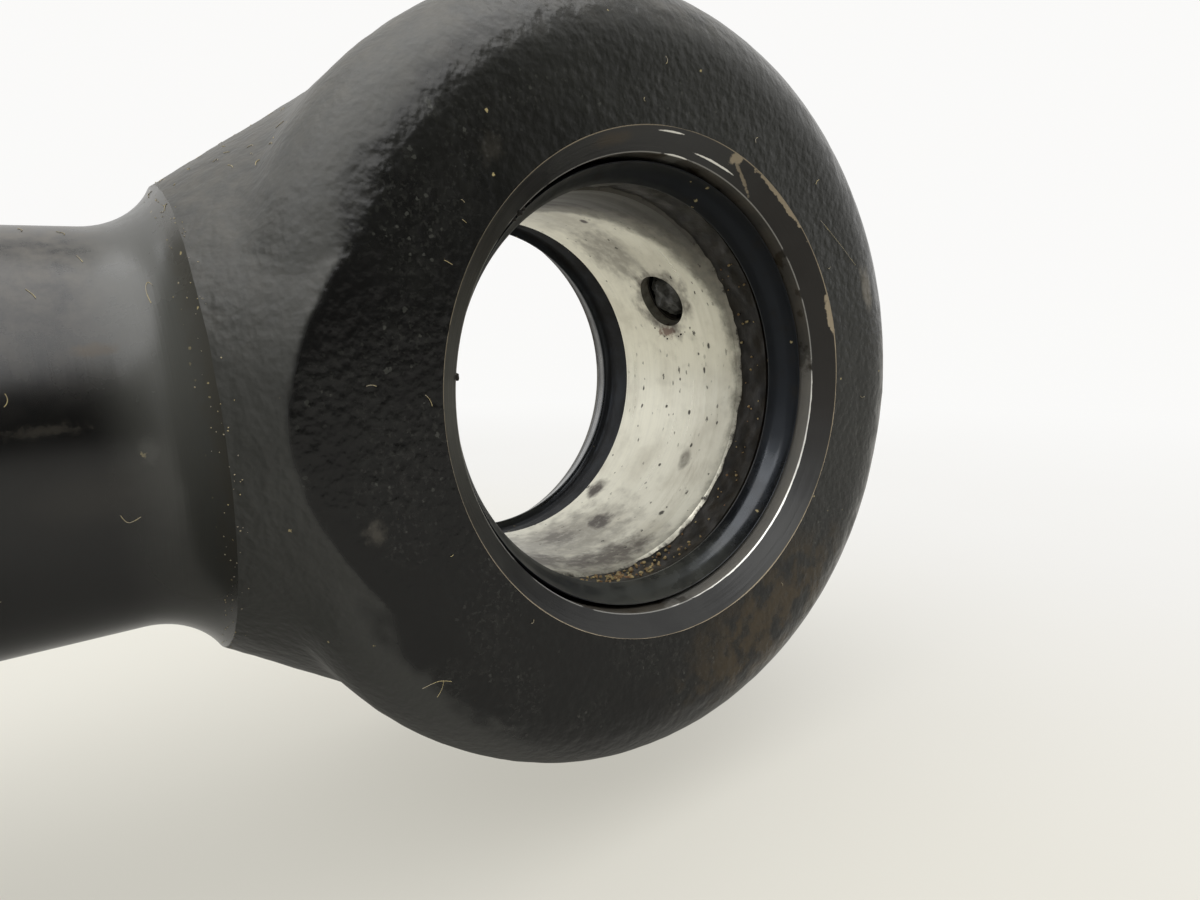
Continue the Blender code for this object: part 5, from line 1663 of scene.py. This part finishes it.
def build_stage():
    """A pale floor, a bright surround that is dim behind the camera, soft lamps and the camera."""
    studio = settings().studio
    scene = bpy.context.scene
    scene.view_settings.view_transform = "Standard"

    floor = bpy.data.meshes.new("floor")
    size = 6.0
    corners = [(-size, -size, 0), (size, -size, 0), (size, size, 0), (-size, size, 0)]
    floor.from_pydata(corners, [], [(0, 1, 2, 3)])
    floor.materials.append(floor_material())
    floor_obj = bpy.data.objects.new("floor", floor)
    floor_obj.location = (0, 0, -0.15 * MM)
    scene.collection.objects.link(floor_obj)

    build_surround()
    panel("overhead", (0.8, 0.75), ROD_PIN + Vector((-0.16, -0.17, 0.58)), ROD_PIN, studio.overhead)
    cool = (0.97, 0.985, 1.0)
    panel("rod side", (0.5, 0.45), ROD_PIN + Vector((-0.50, 0.10, 0.22)), ROD_PIN, studio.side, cool)

    camera = bpy.data.cameras.new("photo camera")
    camera.lens = studio.lens
    camera.sensor_width = 36
    camera.clip_start = 0.005
    obj = bpy.data.objects.new("photo camera", camera)
    obj.location = ROD_PIN + Vector((-45.12, -72.51, 6.49)) * MM
    obj.rotation_euler = [math.radians(a) for a in (80.428, 3.235, -35.946)]
    scene.collection.objects.link(obj)
    scene.camera = obj


class TILTCYLINDER_OT_surfaces(bpy.types.Operator):
    """Make the node groups that the finishes share"""

    bl_idname = "tilt_cylinder.surfaces"
    bl_label = "Surface Effects"

    def execute(self, context):
        for make in (make_place_group, make_mark_group, make_skin_group, make_dust_group, make_speck_group,
                     make_worn_line_group, make_turning_group):
            make()
        return {"FINISHED"}


class TILTCYLINDER_OT_stage(bpy.types.Operator):
    """Set up the floor, the light and the camera"""

    bl_idname = "tilt_cylinder.stage"
    bl_label = "Stage"

    def execute(self, context):
        build_stage()
        return {"FINISHED"}


class TILTCYLINDER_OT_rod_eye(bpy.types.Operator):
    """Build the forged rod eye"""

    bl_idname = "tilt_cylinder.rod_eye"
    bl_label = "Rod Eye"

    def execute(self, context):
        build_rod_eye()
        return {"FINISHED"}


class TILTCYLINDER_OT_base_eye(bpy.types.Operator):
    """Build the forged base eye and its end cap"""

    bl_idname = "tilt_cylinder.base_eye"
    bl_label = "Base Eye"

    def execute(self, context):
        build_base_eye()
        return {"FINISHED"}


class TILTCYLINDER_OT_pin_joints(bpy.types.Operator):
    """Build the bushes, lip seals and grease fittings of both eyes"""

    bl_idname = "tilt_cylinder.pin_joints"
    bl_label = "Pin Joints"

    def execute(self, context):
        build_pin_joints()
        return {"FINISHED"}


class TILTCYLINDER_OT_dirt(bpy.types.Operator):
    """Lay the crumbs, grease and lint on the rod eye"""

    bl_idname = "tilt_cylinder.dirt"
    bl_label = "Dirt"

    def execute(self, context):
        build_bore_dirt()
        build_lint()
        return {"FINISHED"}


class TILTCYLINDER_OT_barrel(bpy.types.Operator):
    """Build the tube, its weld and its ports"""

    bl_idname = "tilt_cylinder.barrel"
    bl_label = "Barrel"

    def execute(self, context):
        build_barrel()
        return {"FINISHED"}


class TILTCYLINDER_OT_gland(bpy.types.Operator):
    """Build the gland and its wiper"""

    bl_idname = "tilt_cylinder.gland"
    bl_label = "Gland"

    def execute(self, context):
        build_gland()
        return {"FINISHED"}


class TILTCYLINDER_OT_piston_rod(bpy.types.Operator):
    """Build the chromed piston rod"""

    bl_idname = "tilt_cylinder.piston_rod"
    bl_label = "Piston Rod"

    def execute(self, context):
        build_piston_rod()
        return {"FINISHED"}


class TILTCYLINDER_OT_inner_parts(bpy.types.Operator):
    """Finish the piston, the rings and the seals inside the barrel"""

    bl_idname = "tilt_cylinder.inner_parts"
    bl_label = "Inner Parts"

    def execute(self, context):
        finish_inner_parts()
        return {"FINISHED"}


STEPS = ("surfaces", "stage", "rod_eye", "base_eye", "pin_joints", "dirt", "barrel", "gland", "piston_rod",
         "inner_parts")


class TILTCYLINDER_PT_sidebar(bpy.types.Panel):
    """The sizes, the finishes and the building steps of the tilt cylinder"""

    bl_idname = "TILTCYLINDER_PT_sidebar"
    bl_label = "Tilt Cylinder"
    bl_space_type = "VIEW_3D"
    bl_region_type = "UI"
    bl_category = "Tilt Cylinder"

    def draw(self, context):
        cylinder = context.scene.tilt_cylinder
        for group in ("pin", "rod_eye", "base_eye", "barrel", "gland", "finish", "studio"):
            box = self.layout.box()
            part = getattr(cylinder, group)
            box.label(text=cylinder.bl_rna.properties[group].name)
            for name in part.__annotations__:
                box.prop(part, name)
        for step in STEPS:
            self.layout.operator("tilt_cylinder." + step)


CLASSES = (
    PinJointSizes, RodEyeSizes, BaseEyeSizes, BarrelSizes, GlandSizes, Finishes, StudioSettings,
    TiltCylinderSettings, TILTCYLINDER_OT_surfaces, TILTCYLINDER_OT_stage, TILTCYLINDER_OT_rod_eye,
    TILTCYLINDER_OT_base_eye, TILTCYLINDER_OT_pin_joints, TILTCYLINDER_OT_dirt, TILTCYLINDER_OT_barrel,
    TILTCYLINDER_OT_gland, TILTCYLINDER_OT_piston_rod, TILTCYLINDER_OT_inner_parts, TILTCYLINDER_PT_sidebar,
)


def register():
    for cls in CLASSES:
        bpy.utils.register_class(cls)
    bpy.types.Scene.tilt_cylinder = PointerProperty(type=TiltCylinderSettings)


def unregister():
    del bpy.types.Scene.tilt_cylinder
    for cls in reversed(CLASSES):
        bpy.utils.unregister_class(cls)


def main():
    register()
    for step in STEPS:
        getattr(bpy.ops.tilt_cylinder, step)()


if __name__ == "__main__":
    main()
